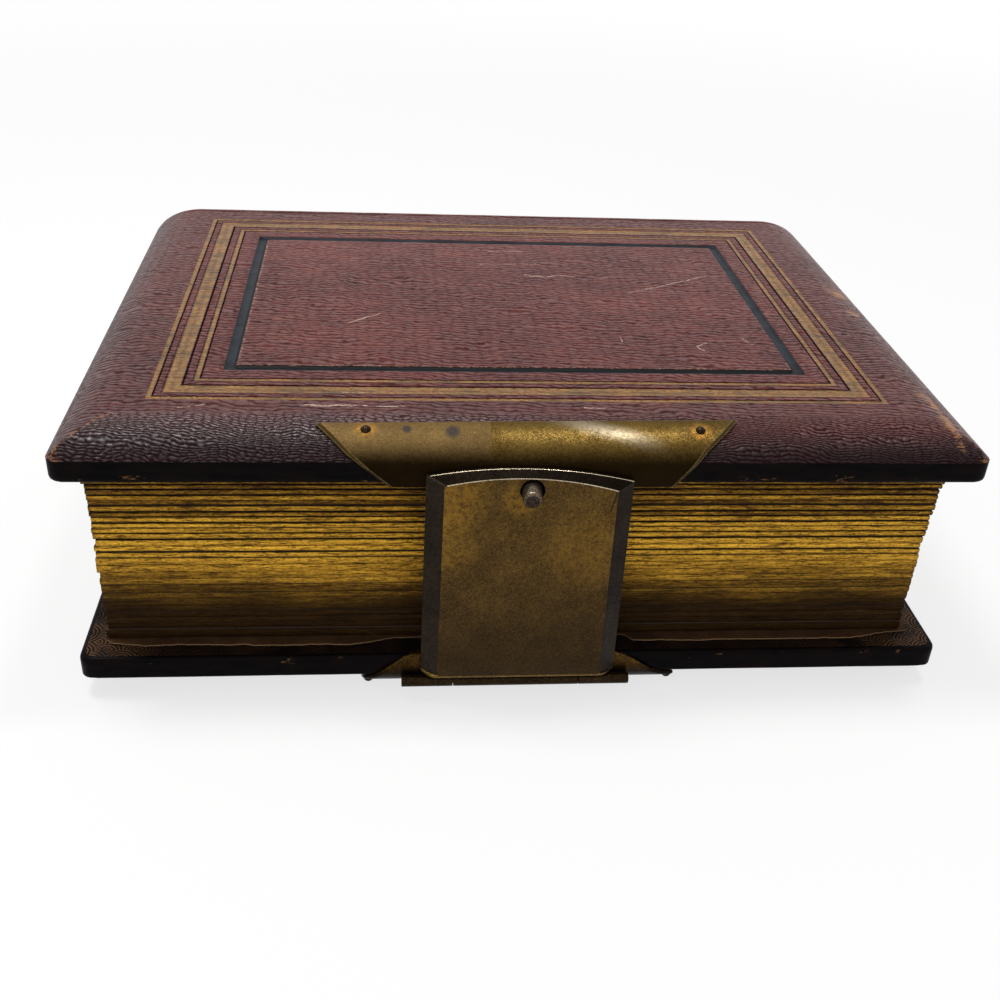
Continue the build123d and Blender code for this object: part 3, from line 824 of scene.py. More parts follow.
def leafStack():
    count, profile = leaves["count"], leaves["profile"]
    thick = np.array([random.uniform(*leaves["unlike"]) for k in range(count)])
    thick = thick * np.linspace(*leaves["thinning"], count)
    gaps = np.array([leaves["seamGap" if k in leaves["openSeams"] else "shutGap"] for k in range(count)])
    thick = thick / thick.sum() * (blockHigh.z - blockLow.z - gaps.sum())
    faint = leaves["faintSeams"]
    dark = [1.0 if k in leaves["openSeams"] else random.uniform(*faint) for k in range(count)]
    points, faces, slots, leafTone, seam = [], [], [], [], []
    top = blockHigh.z
    stepIn = 0.0
    for k in range(count):
        bottom = top - thick[k]
        if k in leaves["openSeams"]:
            stepIn += leaves["stepIn"]
        fore = blockLow.y + random.uniform(0, leaves["unevenFront"])
        spread = leaves["topSpread"][k] * mm if k < len(leaves["topSpread"]) else 0
        left = blockLow.x - spread + random.uniform(0, leaves["unevenEnds"][0])
        right = blockHigh.x - random.uniform(0, leaves["unevenEnds"][1]) - stepIn
        level = ((top + bottom) / 2 - middleHeight) / ((blockHigh.z - blockLow.z) / 2)
        rear = blockHigh.y - leaves["backSag"] * level ** 2
        plan = leafPlan(left, right, fore, rear)
        n = len(plan)
        wobble = softNoise(plan[:, 0] / (7 * mm), plan[:, 1] / (7 * mm) + k * 3.1, 5)
        sway = softNoise(plan[:, 0] / (21 * mm), plan[:, 1] / (21 * mm) + k * 0.35, 6)
        ringRound = leaves["edgeRound"] * random.uniform(*leaves["roundSpread"])
        above = dark[k - 1] if k else 1.0
        start = len(points)
        for share, inset in profile:
            shift = ringRound * inset + leaves["sway"] * (1 + wobble)
            px = plan[:, 0] - plan[:, 2] * shift
            py = plan[:, 1] - plan[:, 3] * shift
            pz = np.clip(bottom + thick[k] * share + leaves["sway"] * sway, blockLow.z, blockHigh.z)
            points.extend(np.stack([px, py, pz], -1).tolist())
            # the rings next to a seam carry its painted shade
            edge = dark[k] if share < 0.5 else above
            seam += [edge * max(0.0, 1 - min(share, 1 - share) / 0.2)] * n
        for ring in range(len(profile) - 1):
            faces += bandFaces(start + ring * n, start + (ring + 1) * n, n)
            slots += [0] * n
        faces.append(list(range(start, start + n))[::-1])
        slots.append(1)
        faces.append(list(range(start + (len(profile) - 1) * n, start + len(profile) * n)))
        slots.append(1)
        leafTone += [random.random()] * (n * len(profile))
        top = bottom - gaps[k]
    return points, faces, slots, {"leafTone": leafTone, "seam": seam}


gilding = {
    "bright": (0.86, 0.48, 0.050),
    "plain": (0.42, 0.215, 0.023),
    "dull": (0.070, 0.031, 0.006),
    # the next three colours paint the gilt in shade low down; the brown one also marks real wear
    "worn": (0.12, 0.066, 0.017),
    "brown": (0.034, 0.016, 0.005),
    "shadowDark": (0.008, 0.004, 0.0015),
    "seam": (0.004, 0.002, 0.001),
    "dimmedUpTo": (13 * mm, 25 * mm),       # below these heights the gilt is darkened as painted shade
    # a band of painted sheen on the gilt
    "paintedSheenBand": (22 * mm, 33 * mm),
    # higher up, painted shadow under the cover
    "coverShadowFrom": (34 * mm, 44 * mm),
}


def giltEdgeMaterial():
    material, shader = newMaterial("giltEdges")
    where = place()
    fibre = speckle(where, 0.15 * mm, 4, 0.65, stretch=(0.13, 0.13, 1))
    streak = speckle(where, 0.55 * mm, 5, 0.65, stretch=(0.07, 0.07, 1))
    patch = speckle(where, 8 * mm, 5, 0.6, stretch=(0.3, 0.3, 1))
    spot = speckle(where, 0.6 * mm, 3, 0.6, stretch=(0.5, 0.5, 1))
    scored = speckle(where, 0.21 * mm, 3, 0.6, stretch=(0.08, 0.08, 1))
    worn = speckle(where, 0.26 * mm, 4, 0.75, stretch=(0.4, 0.4, 1))
    # painted light on the gilt: shade low down and under the cover, a sheen between
    level = parted(where)[2] + 9 * mm * (patch - 0.5)
    upper = eased(level, *gilding["dimmedUpTo"])
    paintedSheen = band(level, *gilding["paintedSheenBand"], 3 * mm)
    shade = eased(level, *gilding["coverShadowFrom"])
    lively = streak * 0.55 + attribute("leafTone") * 0.16 + (fibre - 0.5) * 0.55 + paintedSheen * 0.16 - shade * 0.13
    lit = ramp(lively, (0.22, gilding["dull"]), (0.42, gilding["plain"]), (0.68, gilding["bright"]))
    dim = ramp(lively, (0.22, gilding["shadowDark"]), (0.44, gilding["brown"]), (0.66, gilding["worn"]))
    colour = layered(dim, (upper, lit),
                     (eased(scored, 0.51, 0.62, 0.0, 0.8), gilding["brown"]),
                     (eased(worn, 0.50, 0.63, 0.0, 0.75), gilding["brown"]),
                     (eased(spot, 0.67, 0.76, 0.0, 0.75), gilding["seam"]),
                     # painted shade in the seams between leaves
                     (eased(attribute("seam"), 0.05, 0.75), gilding["seam"]))
    relief = raised(fibre, 0.035 * mm, 0.9, raised(worn, -0.09 * mm, 1.0))
    dress(shader, colour=colour, metal=eased(lively, 0.25, 0.55, 0.3, 0.75) * upper, shine=0.03,
          roughness=eased(fibre, 0.3, 0.7, 0.55, 0.36), relief=raised(scored, -0.09 * mm, 1.0, relief))
    return material


def paperMaterial(name, dark, light, size=2.2 * mm):
    material, shader = newMaterial(name)
    where = place()
    fibre = speckle(where, size * 0.2, 5, 0.65)
    tone = speckle(where, size * 5, 5, 0.6) * 0.7 + fibre * 0.3
    dress(shader, colour=ramp(tone, (0.35, dark), (0.65, light)), roughness=eased(fibre, 0.3, 0.7, 0.75, 0.9),
          relief=raised(fibre, 0.03 * mm, 0.6))
    return material


giltEdges = giltEdgeMaterial()
# the card's faces between the leaves, nearly black: painted shade in the gaps
cardInShade = paperMaterial("cardInShade", (0.020, 0.010, 0.004), (0.045, 0.023, 0.009))


def makeLeaves():
    points, faces, slots, values = leafStack()
    stack = makePiece("pageBlock", points, faces, [giltEdges, cardInShade], slots, values)
    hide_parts("page_block")
    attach(stack, "block")
    print("leaves made:", len(stack.data.polygons), "faces")


makeLeaves()


# the torn flyleaf under the block
flyleaf = {
    "thickness": 0.16 * mm,
    # reach of its front edge past the block, by place along the album, in millimetres
    "tear": (
        (-73.4, 0.2), (-72.2, 1.3), (-70.4, 1.7), (-66.5, 2.1), (-60.0, 1.9), (-52.0, 2.0), (-44.0, 2.3),
        (-38.0, 2.2), (-31.0, 2.4), (-27.6, 1.9), (-25.0, 1.2), (-22.6, 0.5), (-12.0, 0.2), (0.0, 0.1),
        (14.0, 0.1), (19.0, 0.3), (20.6, 2.2), (24.0, 2.4), (40.0, 2.35), (56.0, 2.4), (62.0, 2.4),
        (65.5, 1.7), (69.0, 0.9), (73.4, 0.2),
    ),
    "furthest": 2.4 * mm,
    # place, width and lift, in millimetres
    "curls": ((71.5, 5.0, 1.1), (-23.5, 2.6, 0.5), (-71.8, 2.0, 0.35)),
    "dark": (0.030, 0.013, 0.006),
    "light": (0.085, 0.042, 0.018),
    "torn": (0.30, 0.19, 0.10),
}


def tornFlyleaf():
    xs = np.linspace(-blockHigh.x, blockHigh.x, 420)
    marks = np.array(flyleaf["tear"]) * mm
    reach = np.interp(xs, marks[:, 0], marks[:, 1])
    ragged = 0.10 * softNoise(xs / (0.9 * mm), xs * 0, 11) + 0.16 * softNoise(xs / (2.6 * mm), xs * 0, 12)
    furthest = flyleaf["furthest"]
    reach = np.clip(reach + ragged * mm * np.clip(reach / (0.8 * mm), 0, 1), 0.02 * mm, furthest)
    # rows from the torn edge, at 0, to the block's fore edge, at 1, and on to the spine
    last = 2.5
    shares = np.concatenate([np.linspace(0, 1, 9), [1.6, last]])
    fore, far = blockLow.y, flyHigh.y - 1 * mm
    sheet = []
    for share in shares:
        if share <= 1:
            y = fore - reach * (1 - share)
        else:
            y = np.full_like(xs, fore + (share - 1) / (last - 1) * (far - fore))
        out = np.clip((fore - y) / furthest, 0, 1)
        lift = sum(high * mm * bell(xs - at * mm, wide * mm) for at, wide, high in flyleaf["curls"])
        z = flyLow.z + 0.02 * mm + lift * out ** 1.6
        z += 0.10 * mm * out * (1 + softNoise(xs / (8 * mm), y / (2 * mm), 13))
        sheet.append(np.stack([xs, y, z], -1))
    sheet = np.array(sheet)
    points = slabPoints(sheet, sheet + np.array([0, 0, flyleaf["thickness"]]))
    torn = np.tile(np.repeat(np.clip(1 - shares * 3.2, 0, 1), len(xs)), 2)
    return points, slabFaces(len(shares), len(xs), True), {"torn": torn}


def flyleafMaterial():
    material, shader = newMaterial("flyleafPaper")
    where = place()
    fibre = speckle(where, 0.35 * mm, 5, 0.7)
    tone = speckle(where, 6 * mm, 5, 0.65) * 0.7 + fibre * 0.3
    colour = ramp(tone, (0.34, flyleaf["dark"]), (0.66, flyleaf["light"]))
    tornAt = attribute("torn") + (fibre - 0.5) * 0.9
    colour = layered(colour, (eased(tornAt, 0.62, 1.0, 0.0, 0.8), flyleaf["torn"]))
    dress(shader, colour=colour, roughness=eased(fibre, 0.3, 0.7, 0.7, 0.9), shine=0.1,
          relief=raised(fibre, 0.05 * mm, 0.7))
    return material


flyleafPaper = flyleafMaterial()


def makeFlyleaf():
    points, faces, values = tornFlyleaf()
    sheet = makePiece("backFlyleaf", points, faces, [flyleafPaper], None, values)
    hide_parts("back_flyleaf")
    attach(sheet, "block")
    print("flyleaf made")


makeFlyleaf()


# spots and shades on the brass; lists and ends of a scratch are in millimetres
brassMarks = {
    "pit": (0.012, 0.007, 0.003),
    "dullEnd": (0.112, 0.070, 0.028),
    "dullUpTo": (-7.6 * mm, -6.9 * mm),     # from the catch plate's left end
    "polishAndHighlight": (0.28, 0.235, 0.165),
    "highlightAlong": (4 * mm, 18 * mm),        # where the catch plate is polished and a highlight is painted on it
    "highlightDepth": 5.2 * mm,                 # behind its front, at the middle of that stretch
    "highlightSlant": 0.30,
    "catchFootDarkReflection": (0.010, 0.005, 0.001),
    "nailHalo": (0.22, 0.105, 0.018),
    "haloSize": 2.4 * mm,
    "catchSpot": (0.018, 0.019, 0.022),
    "catchSpots": ((-20.9, 5.0, 0.75), (-13.5, 4.5, 1.15), (-21.0, 3.3, 0.5)),   # place, depth and size
    "claspFoot": (0.016, 0.009, 0.004),
    "claspGlow": (0.26, 0.135, 0.018),
    # from the left, from the top, size and strength
    "claspGlows": ((3.5, 5.0, 9.0, 0.7), (2.8, 14.0, 8.0, 0.5), (15.5, 5.5, 4.0, 0.6),
                   (28.0, 15.0, 10.0, 0.35)),
    "scratch": (0.008, 0.005, 0.003),
    "scratchEnds": ((12.3, 0, 40.6), (13.0, 0, 43.9)),
    "hingeShade": (0.004, 0.002, 0.001),
}


def nearPoint(where, point, size):
    return eased(vectorCalc("DISTANCE", where, point), size * 0.35, size, 1.0, 0.0)


def catchSpots(where, colour, roughness, mottle):
    # duller and pinker left of a sharp tone change, polished further right with a painted highlight, nearly
    # black at its foot as a painted dark reflection
    x, y, z = parted(where)
    low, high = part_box("catch_plate")
    dull = eased(x, *brassMarks["dullUpTo"], 1.0, 0.0)
    slant = brassMarks["highlightSlant"]
    middle = low.y + brassMarks["highlightDepth"] + slant * sum(brassMarks["highlightAlong"]) / 2
    # a painted highlight where the plate is also polished smoother
    polishAndHighlight = band(x, *brassMarks["highlightAlong"], 5 * mm)
    polishAndHighlight = polishAndHighlight * band(y + x * slant, middle - 0.8 * mm, middle + 0.8 * mm, 1.5 * mm)
    polishAndHighlight = polishAndHighlight * eased(mottle, 0.32, 0.52, 0.45, 1.0) * 0.8
    # nearly black low down: painted dark reflection
    foot = eased(z + 1.2 * mm * (mottle - 0.5), high.z - 5.0 * mm, high.z - 1.8 * mm, 0.97, 0.0)
    layers = [(dull * 0.6, brassMarks["dullEnd"]), (polishAndHighlight, brassMarks["polishAndHighlight"])]
    layers.append((foot, brassMarks["catchFootDarkReflection"]))
    for node in ("catch_plate_nail_left", "catch_plate_nail_right"):
        near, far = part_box(node)
        head = Vector(((near.x + far.x) / 2, near.y + 0.6 * mm, far.z - 0.4 * mm))
        halo = nearPoint(where, head, brassMarks["haloSize"]) * eased(mottle, 0.38, 0.6, 0.1, 0.9)
        layers.append((halo, brassMarks["nailHalo"]))
    for along, depth, size in brassMarks["catchSpots"]:
        spot = Vector((along * mm, low.y + depth * mm, high.z - 1.0 * mm))
        layers.append((nearPoint(where, spot, size * 1.5 * mm) * 0.8, brassMarks["catchSpot"]))
    roughness = blended(polishAndHighlight, roughness + dull * 0.16, 0.30) + foot * 0.2
    return layered(colour, *layers), roughness


def claspTones(where, colour, roughness, mottle):
    # yellower in patches, darker towards its foot, with one scratch
    low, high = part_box("clasp_plate")
    foot = eased(parted(where)[2], low.z + 3 * mm, low.z + 36 * mm, 0.72, 0.0)
    layers = [(foot, brassMarks["claspFoot"])]
    for along, down, size, most in brassMarks["claspGlows"]:
        spot = Vector((low.x + along * mm, low.y, high.z - down * mm))
        glow = nearPoint(where, spot, size * mm) * eased(mottle, 0.38, 0.62, 0.1, most)
        layers.append((glow, brassMarks["claspGlow"]))
    start, end = (Vector(point) * mm for point in brassMarks["scratchEnds"])
    gap = strokeGap(vectorCalc("MULTIPLY", where, (1, 0, 1)), start, end)
    layers.append((eased(gap, 0.06 * mm, 0.18 * mm, 0.85, 0.0), brassMarks["scratch"]))
    return layered(colour, *layers), roughness


def hingeTones(where, colour, roughness, mottle):
    # nearly black low down: painted shade
    level = parted(where)[2] + 2.0 * mm * (mottle - 0.5)
    return layered(colour, (eased(level, 3.8 * mm, 6.6 * mm, 0.93, 0.0), brassMarks["hingeShade"])), roughness


# tarnished brass: one recipe, with its own tones for each fitting and marks for some
brassTones = {
    # dark, middle and light, then roughness, metal and shine
    "catchBrass": ((0.030, 0.016, 0.003), (0.066, 0.039, 0.008), (0.125, 0.080, 0.020), 0.35, 0.86, 0.1),
    # the catch plate's slanted ends, a darker copy: painted shade; its rims, lighter: rubbed brass with
    # painted highlights
    "catchEndsShaded": ((0.030, 0.017, 0.004), (0.055, 0.033, 0.009), (0.09, 0.057, 0.018), 0.34, 0.86, 0.1),
    "catchRimsRubbedAndLit": ((0.10, 0.068, 0.022), (0.20, 0.145, 0.060), (0.34, 0.26, 0.13), 0.32, 0.86, 0.15),
    "claspFace": ((0.032, 0.017, 0.005), (0.080, 0.044, 0.011), (0.155, 0.088, 0.020), 0.46, 0.7, 0.12),
    # the clasp's sides and upward faces, darker copies: painted dark reflections
    "claspBevelDarkReflection": ((0.008, 0.005, 0.003), (0.018, 0.012, 0.008), (0.034, 0.024, 0.016), 0.42, 0.8, 0.1),
    "claspTopDarkReflection": ((0.003, 0.0015, 0.001), (0.005, 0.003, 0.0015), (0.012, 0.007, 0.004), 0.5, 0.5, 0.03),
    "claspFoot": ((0.05, 0.026, 0.006), (0.13, 0.074, 0.014), (0.26, 0.155, 0.030), 0.36, 0.8, 0.15),
    # rubbed edges of the clasp, lightened further: painted highlights
    "wornAndLitBrass": ((0.24, 0.18, 0.11), (0.50, 0.42, 0.29), (0.72, 0.63, 0.48), 0.30, 0.8, 0.3),
    "hingeBrass": ((0.008, 0.004, 0.001), (0.036, 0.018, 0.004), (0.11, 0.060, 0.012), 0.38, 0.8, 0.1),
    "barrelBrass": ((0.006, 0.003, 0.0015), (0.018, 0.010, 0.004), (0.055, 0.034, 0.012), 0.36, 0.7, 0.08),
    "studBrass": ((0.030, 0.022, 0.015), (0.08, 0.060, 0.040), (0.25, 0.195, 0.13), 0.24, 0.85, 0.15),
    "studEnd": ((0.010, 0.006, 0.005), (0.032, 0.020, 0.015), (0.085, 0.058, 0.040), 0.34, 0.85, 0.15),
    "nailBrass": ((0.006, 0.004, 0.003), (0.016, 0.010, 0.005), (0.07, 0.04, 0.012), 0.34, 0.8, 0.1),
    "hingeNail": ((0.002, 0.001, 0.001), (0.004, 0.003, 0.002), (0.01, 0.006, 0.003), 0.45, 0.5, 0.04),
}
brassExtras = {"catchBrass": catchSpots, "claspFace": claspTones, "hingeBrass": hingeTones}


def brassMaterial(name, dark, middle, light, rough, metal, shine):
    material, shader = newMaterial(name)
    where = place()
    cloud = speckle(where, 6 * mm, 5, 0.6, 0.3)
    mottle = speckle(where, 0.7 * mm, 5, 0.72)
    fine = speckle(where, 0.22 * mm, 3, 0.7)
    tone = cloud * 0.22 + mottle * 0.20 + fine * 0.58
    colour = ramp(tone, (0.38, dark), (0.50, middle), (0.62, light))
    colour = layered(colour, (eased(mottle, 0.66, 0.76, 0.0, 0.65), brassMarks["pit"]))
    roughness = eased(tone, 0.40, 0.60, rough + 0.12, rough - 0.06)
    if name in brassExtras:
        colour, roughness = brassExtras[name](where, colour, roughness, mottle)
    dress(shader, colour=colour, roughness=roughness, metal=metal, shine=shine,
          relief=raised(fine, 0.010 * mm, 0.7, raised(mottle, 0.02 * mm, 0.5)))
    return material


brass = {name: brassMaterial(name, *tones) for name, tones in brassTones.items()}


def clothMaterial(name, dark, light, pitch):
    material, shader = newMaterial(name)
    where = place()
    x, y, z = parted(where)
    weave = calc("SINE", 2 * math.pi / pitch * x) * calc("SINE", 2 * math.pi / pitch * (y + z))
    tone = weave * 0.15 + speckle(where, 4 * mm, 4, 0.6)
    dress(shader, colour=ramp(tone, (0.3, dark), (0.7, light)), roughness=0.9,
          relief=raised(weave, 0.06 * mm, 0.8))
    return material


linen = clothMaterial("linenLining", (0.40, 0.33, 0.22), (0.60, 0.52, 0.38), 0.55 * mm)
thread = clothMaterial("bandThread", (0.20, 0.04, 0.035), (0.46, 0.14, 0.10), 0.7 * mm)
board = paperMaterial("millboard", (0.20, 0.155, 0.10), (0.34, 0.27, 0.185))
endpaper = paperMaterial("endpaper", (0.30, 0.235, 0.15), (0.46, 0.37, 0.25))
frontFlyPaper = paperMaterial("frontFlyleafPaper", (0.12, 0.064, 0.032), (0.20, 0.112, 0.058))


# plates of sheet brass bent round the covers' fore edges
plate = {
    "thickness": 0.75 * mm,
    "lift": 0.85 * mm,        # from the leather to the plate's outer face
    "lip": 2.2 * mm,
    "archEnd": 40,            # degrees from straight up where the plate leaves the bevel's arch
    "upright": 45.9 * mm,     # height under which it is upright
    "easedEdge": 0.3 * mm,
}

catchForm = {
    "archStart": 11.5,
    "foot": coverLow.z - 0.25 * mm,
    "skew": (1.2, 0.0),       # how much lower the upper edge is at the left and right end
    # how far down the bend a place lies, and where the left and right end are there, in millimetres
    "ends": ((0.0, -35.6, 34.4), (3.4, -33.1, 31.6), (6.6, -30.6, 28.4), (9.8, -27.4, 26.0),
             (13.4, -23.7, 23.1)),
    "facet": 0.75,
    "facetDrop": 0.42,
}

hingeForm = {
    "archStart": 24.2,
    "foot": coverLow.z + 0.3 * mm,
    "skew": (0.0, 0.0),
    "ends": ((0.0, -19.4, 15.6), (2.2, -20.9, 17.8), (4.4, -23.4, 21.2), (6.4, -25.9, 24.0),
             (8.8, -28.4, 28.3), (12.0, -28.8, 28.7)),
    "facet": 0.6,
    "facetDrop": 0.3,
}


def bendProfile(form):
    # outer face of a plate on the front cover as depths and heights, from its upper edge down
    y0, z0 = coverLow.y + cover["bevelWidth"], coverHigh.z - bevelRadius
    radius = bevelRadius + plate["lift"]
    start, stop, upright = math.radians(form["archStart"]), math.radians(plate["archEnd"]), plate["upright"]
    points = [(y0 - radius * math.sin(a), z0 + radius * math.cos(a)) for a in np.linspace(start, stop, 18)]
    (ay, az), face = points[-1], coverLow.y - plate["lift"]
    bend = az - (ay - face) * math.tan(stop)
    for t in np.linspace(0, 1, 9)[1:]:
        y = (1 - t) ** 2 * ay + 2 * t * (1 - t) * face + t ** 2 * face
        z = (1 - t) ** 2 * az + 2 * t * (1 - t) * bend + t ** 2 * upright
        points.append((y, z))
    return points + [(face, z) for z in np.linspace(upright, form["foot"], 8)[1:]]


def profileAt(profile, run, at):
    return np.array([np.interp(at, run, profile[:, k]) for k in (0, 1)])


def bentPlate(profile, form):
    profile = np.array(profile)
    run = np.concatenate([[0], np.cumsum(np.hypot(*np.diff(profile, axis=0).T))])
    marks = np.array(form["ends"])
    facet, edge, length = form["facet"] * mm, plate["easedEdge"], run[-1]
    middle = np.linspace(edge, length - edge, 60)[1:-1]
    rows = np.concatenate([[0, 0.4 * edge, edge], middle, [length - edge, length - 0.4 * edge, length]])
    rowDrop = np.concatenate([[0.34, 0.1, 0], np.zeros(58), [0, 0.1, 0.34]]) * mm
    outer, inner = [], []
    for s, lowered in zip(rows, rowDrop):
        left = np.interp(s / mm, marks[:, 0], marks[:, 1]) * mm
        right = np.interp(s / mm, marks[:, 0], marks[:, 2]) * mm
        ends = np.array([0, 0.10, 0.94, 1.05]) * facet
        body = np.linspace(left + ends[-1], right - ends[-1], 64)[1:-1]
        xs = np.concatenate([left + ends, body, right - ends[::-1]])
        drops = np.concatenate([[1, 0.9, 0.06, 0], np.zeros(62), [0, 0.06, 0.9, 1]]) * form["facetDrop"] * mm
        share = (xs - left) / (right - left)
        slip = (form["skew"][0] * (1 - share) + form["skew"][1] * share) * mm
        at = slip + s * (length - slip) / length
        near = 0.35 * mm
        y, z = profileAt(profile, run, at)
        ty, tz = profileAt(profile, run, at + near) - profileAt(profile, run, at - near)
        size = np.hypot(ty, tz)
        h = np.maximum(drops, lowered)
        outer.append(np.stack([xs, y - tz / size * h, z + ty / size * h], -1))
        h = plate["thickness"]
        inner.append(np.stack([xs, y - tz / size * h, z + ty / size * h], -1))
    rows, columns = np.array(outer).shape[:2]
    # bright where the rims are rubbed, with painted highlights, and darker on the slanted ends between them
    # as painted shade
    column = np.tile(np.arange(columns - 1), rows - 1)
    row = np.repeat(np.arange(rows - 1), columns - 1)
    fromEnd = np.minimum(column, columns - 2 - column)
    faces = slabFaces(rows, columns)
    slots = np.zeros(len(faces), int)
    isRim = (fromEnd == 0) | (fromEnd == 2) | (row == 0)
    slots[:len(column)] = np.where(isRim, 1, np.where(fromEnd == 1, 2, 0))
    return slabPoints(outer, inner), faces, slots


# knuckles rolled from the plates' own sheet round the pin
barrel = {
    "radius": 1.05 * mm,
    "bore": 0.52 * mm,
    "sheet": 1.35 * mm,      # how far the hinge plate's sheet runs on behind the pin
    "middle": (-12.4 * mm, 10.0 * mm),
    "gap": 0.12 * mm,
}


def rolledKnuckle(start, stop, loop):
    # a bar along the album with the given outline in depth and height, its ends a little eased
    pinLow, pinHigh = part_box("hinge_pin")
    y0, z0 = (pinLow.y + pinHigh.y) / 2, (pinLow.z + pinHigh.z) / 2
    loop = np.array(loop)
    centre = loop.mean(axis=0)
    ease = 0.08 * mm
    places = [start, start + ease] + list(np.linspace(start, stop, 12)[1:-1]) + [stop - ease, stop]
    points, faces = [], []
    count = len(loop)
    for number, x in enumerate(places):
        shrink = 1 - 0.07 * (number in (0, len(places) - 1))
        ring = centre + (loop - centre) * shrink
        points += [(x, y0 + y, z0 + z) for y, z in ring]
    for number in range(len(places) - 1):
        faces += bandFaces(number * count, (number + 1) * count, count)
    faces.append(list(range(count))[::-1])
    faces.append(list(range((len(places) - 1) * count, len(places) * count)))
    return points, faces


def arcPoints(radius, start, stop, steps):
    # angles in degrees from straight down, turning towards the viewer
    spins = [math.radians(a) for a in np.linspace(start, stop, steps)]
    return [(-radius * math.sin(spin), -radius * math.cos(spin)) for spin in spins]


def joined(pieces):
    points, faces = [], []
    for morePoints, moreFaces in pieces:
        start = len(points)
        points += [tuple(p) for p in morePoints]
        faces += [[i + start for i in face] for face in moreFaces]
    return points, faces


def makeCatchPlate():
    points, faces, slots = bentPlate(bendProfile(catchForm), catchForm)
    materials = [brass[name] for name in ("catchBrass", "catchRimsRubbedAndLit", "catchEndsShaded")]
    piece = makePiece("catchPlate", points, faces, materials, slots)
    sharpEdges(piece, 20)
    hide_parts("catch_plate")
    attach(piece, "front_cover")


def makeHingePlate():
    # the catch plate's bend upside down, with a lip over the back cover's inner face
    face, top = coverLow.y - plate["lift"], backHigh.z + 0.8 * mm
    profile = [(y, 2 * middleHeight - z) for y, z in bendProfile(hingeForm)][::-1]
    bend = [(face + 0.6 * mm, top), (face + 0.3 * mm, top - 0.08 * mm), (face + 0.1 * mm, top - 0.25 * mm)]
    profile = [(face + plate["lip"], top)] + bend + profile
    outer, bore, sheet = barrel["radius"], barrel["bore"], barrel["sheet"]
    loop = arcPoints(outer, 0, 290, 34) + arcPoints(bore, 290, 0, 20) + [(sheet, -bore), (sheet, -outer)]
    middleStart, middleStop = barrel["middle"]
    pinLow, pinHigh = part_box("hinge_pin")
    ends = ((pinLow.x, middleStart - barrel["gap"]), (middleStop + barrel["gap"], pinHigh.x))
    plateMesh = bentPlate(profile, hingeForm)[:2]
    points, faces = joined([plateMesh] + [rolledKnuckle(a, b, loop) for a, b in ends])
    slots = [0 if number < len(plateMesh[1]) else 1 for number in range(len(faces))]
    piece = makePiece("hingePlate", points, faces, [brass["hingeBrass"], brass["barrelBrass"]], slots)
    sharpEdges(piece, 45)
    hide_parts("hinge_plate")
    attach(piece, "back_cover")


# the clasp: outline measured at its rim, in millimetres
clasp = {
    "left": (-18.25, -17.85),    # at the foot and at the shoulder
    "right": (16.3, 16.05),
    "foot": 5.2,
    "shoulder": (46.0, 45.1),    # left and right
    "crown": 47.45,
    "back": 1.2,                 # from the cover's fore edge
    "front": 3.6,
    "rim": 0.6,
    "sideInset": 2.75,
    "topInset": 0.8,
    "footInset": 0.85,
    "corner": 1.6,
    "hole": (-0.8, 44.45, 1.98),
}

# material numbers for the sides, the top and the foot of each surface of the clasp
claspSlots = {
    "back": (1, 1, 1),
    "wall": (1, 2, 1),
    "rim": (1, 3, 4),
    "bevel": (1, 2, 4),
    "face": (0, 0, 0),
}


def straight(start, end, shares):
    return [(start[0] + (end[0] - start[0]) * t, start[1] + (end[1] - start[1]) * t) for t in shares]


def claspLoop(share, rounding):
    # the outline brought in by a share of each side's inset, and which edge each point is on: 0 side,
    # 1 top or 2 foot; rounding is how far the foot has come in
    side, top = clasp["sideInset"] * share, clasp["topInset"] * share
    low = clasp["foot"] + clasp["footInset"] * rounding
    corner = max(clasp["corner"] * (1 - 0.75 * share), 0.35)
    leftFoot, leftTop = (x + side for x in clasp["left"])
    rightFoot, rightTop = (x - side for x in clasp["right"])
    shoulderLeft, shoulderRight = (z - top for z in clasp["shoulder"])
    rise = clasp["crown"] - top - (shoulderLeft + shoulderRight) / 2
    shares = np.linspace(0, 1, 60)
    leftSide = straight((leftFoot, low + corner), (leftTop, shoulderLeft), shares)
    chord = straight((leftTop, shoulderLeft), (rightTop, shoulderRight), shares[1:-1])
    arch = [(x, z + rise * (1 - (2 * t - 1) ** 2)) for (x, z), t in zip(chord, shares[1:-1])]
    rightSide = straight((rightTop, shoulderRight), (rightFoot, low + corner), shares)
    turn = [(corner * math.cos(a), corner * (1 - math.sin(a))) for a in np.radians(np.linspace(0, 90, 10))]
    foot = [(rightFoot - corner + out, low + up) for out, up in turn[1:]]
    foot += straight((rightFoot - corner, low), (leftFoot + corner, low), np.linspace(0, 1, 50)[1:-1])
    foot += [(leftFoot + corner - out, low + up) for out, up in turn[:0:-1]]
    kinds = [0] * len(leftSide) + [1] * len(arch) + [0] * len(rightSide) + [2] * len(foot)
    return np.array(leftSide + arch + rightSide + foot), kinds


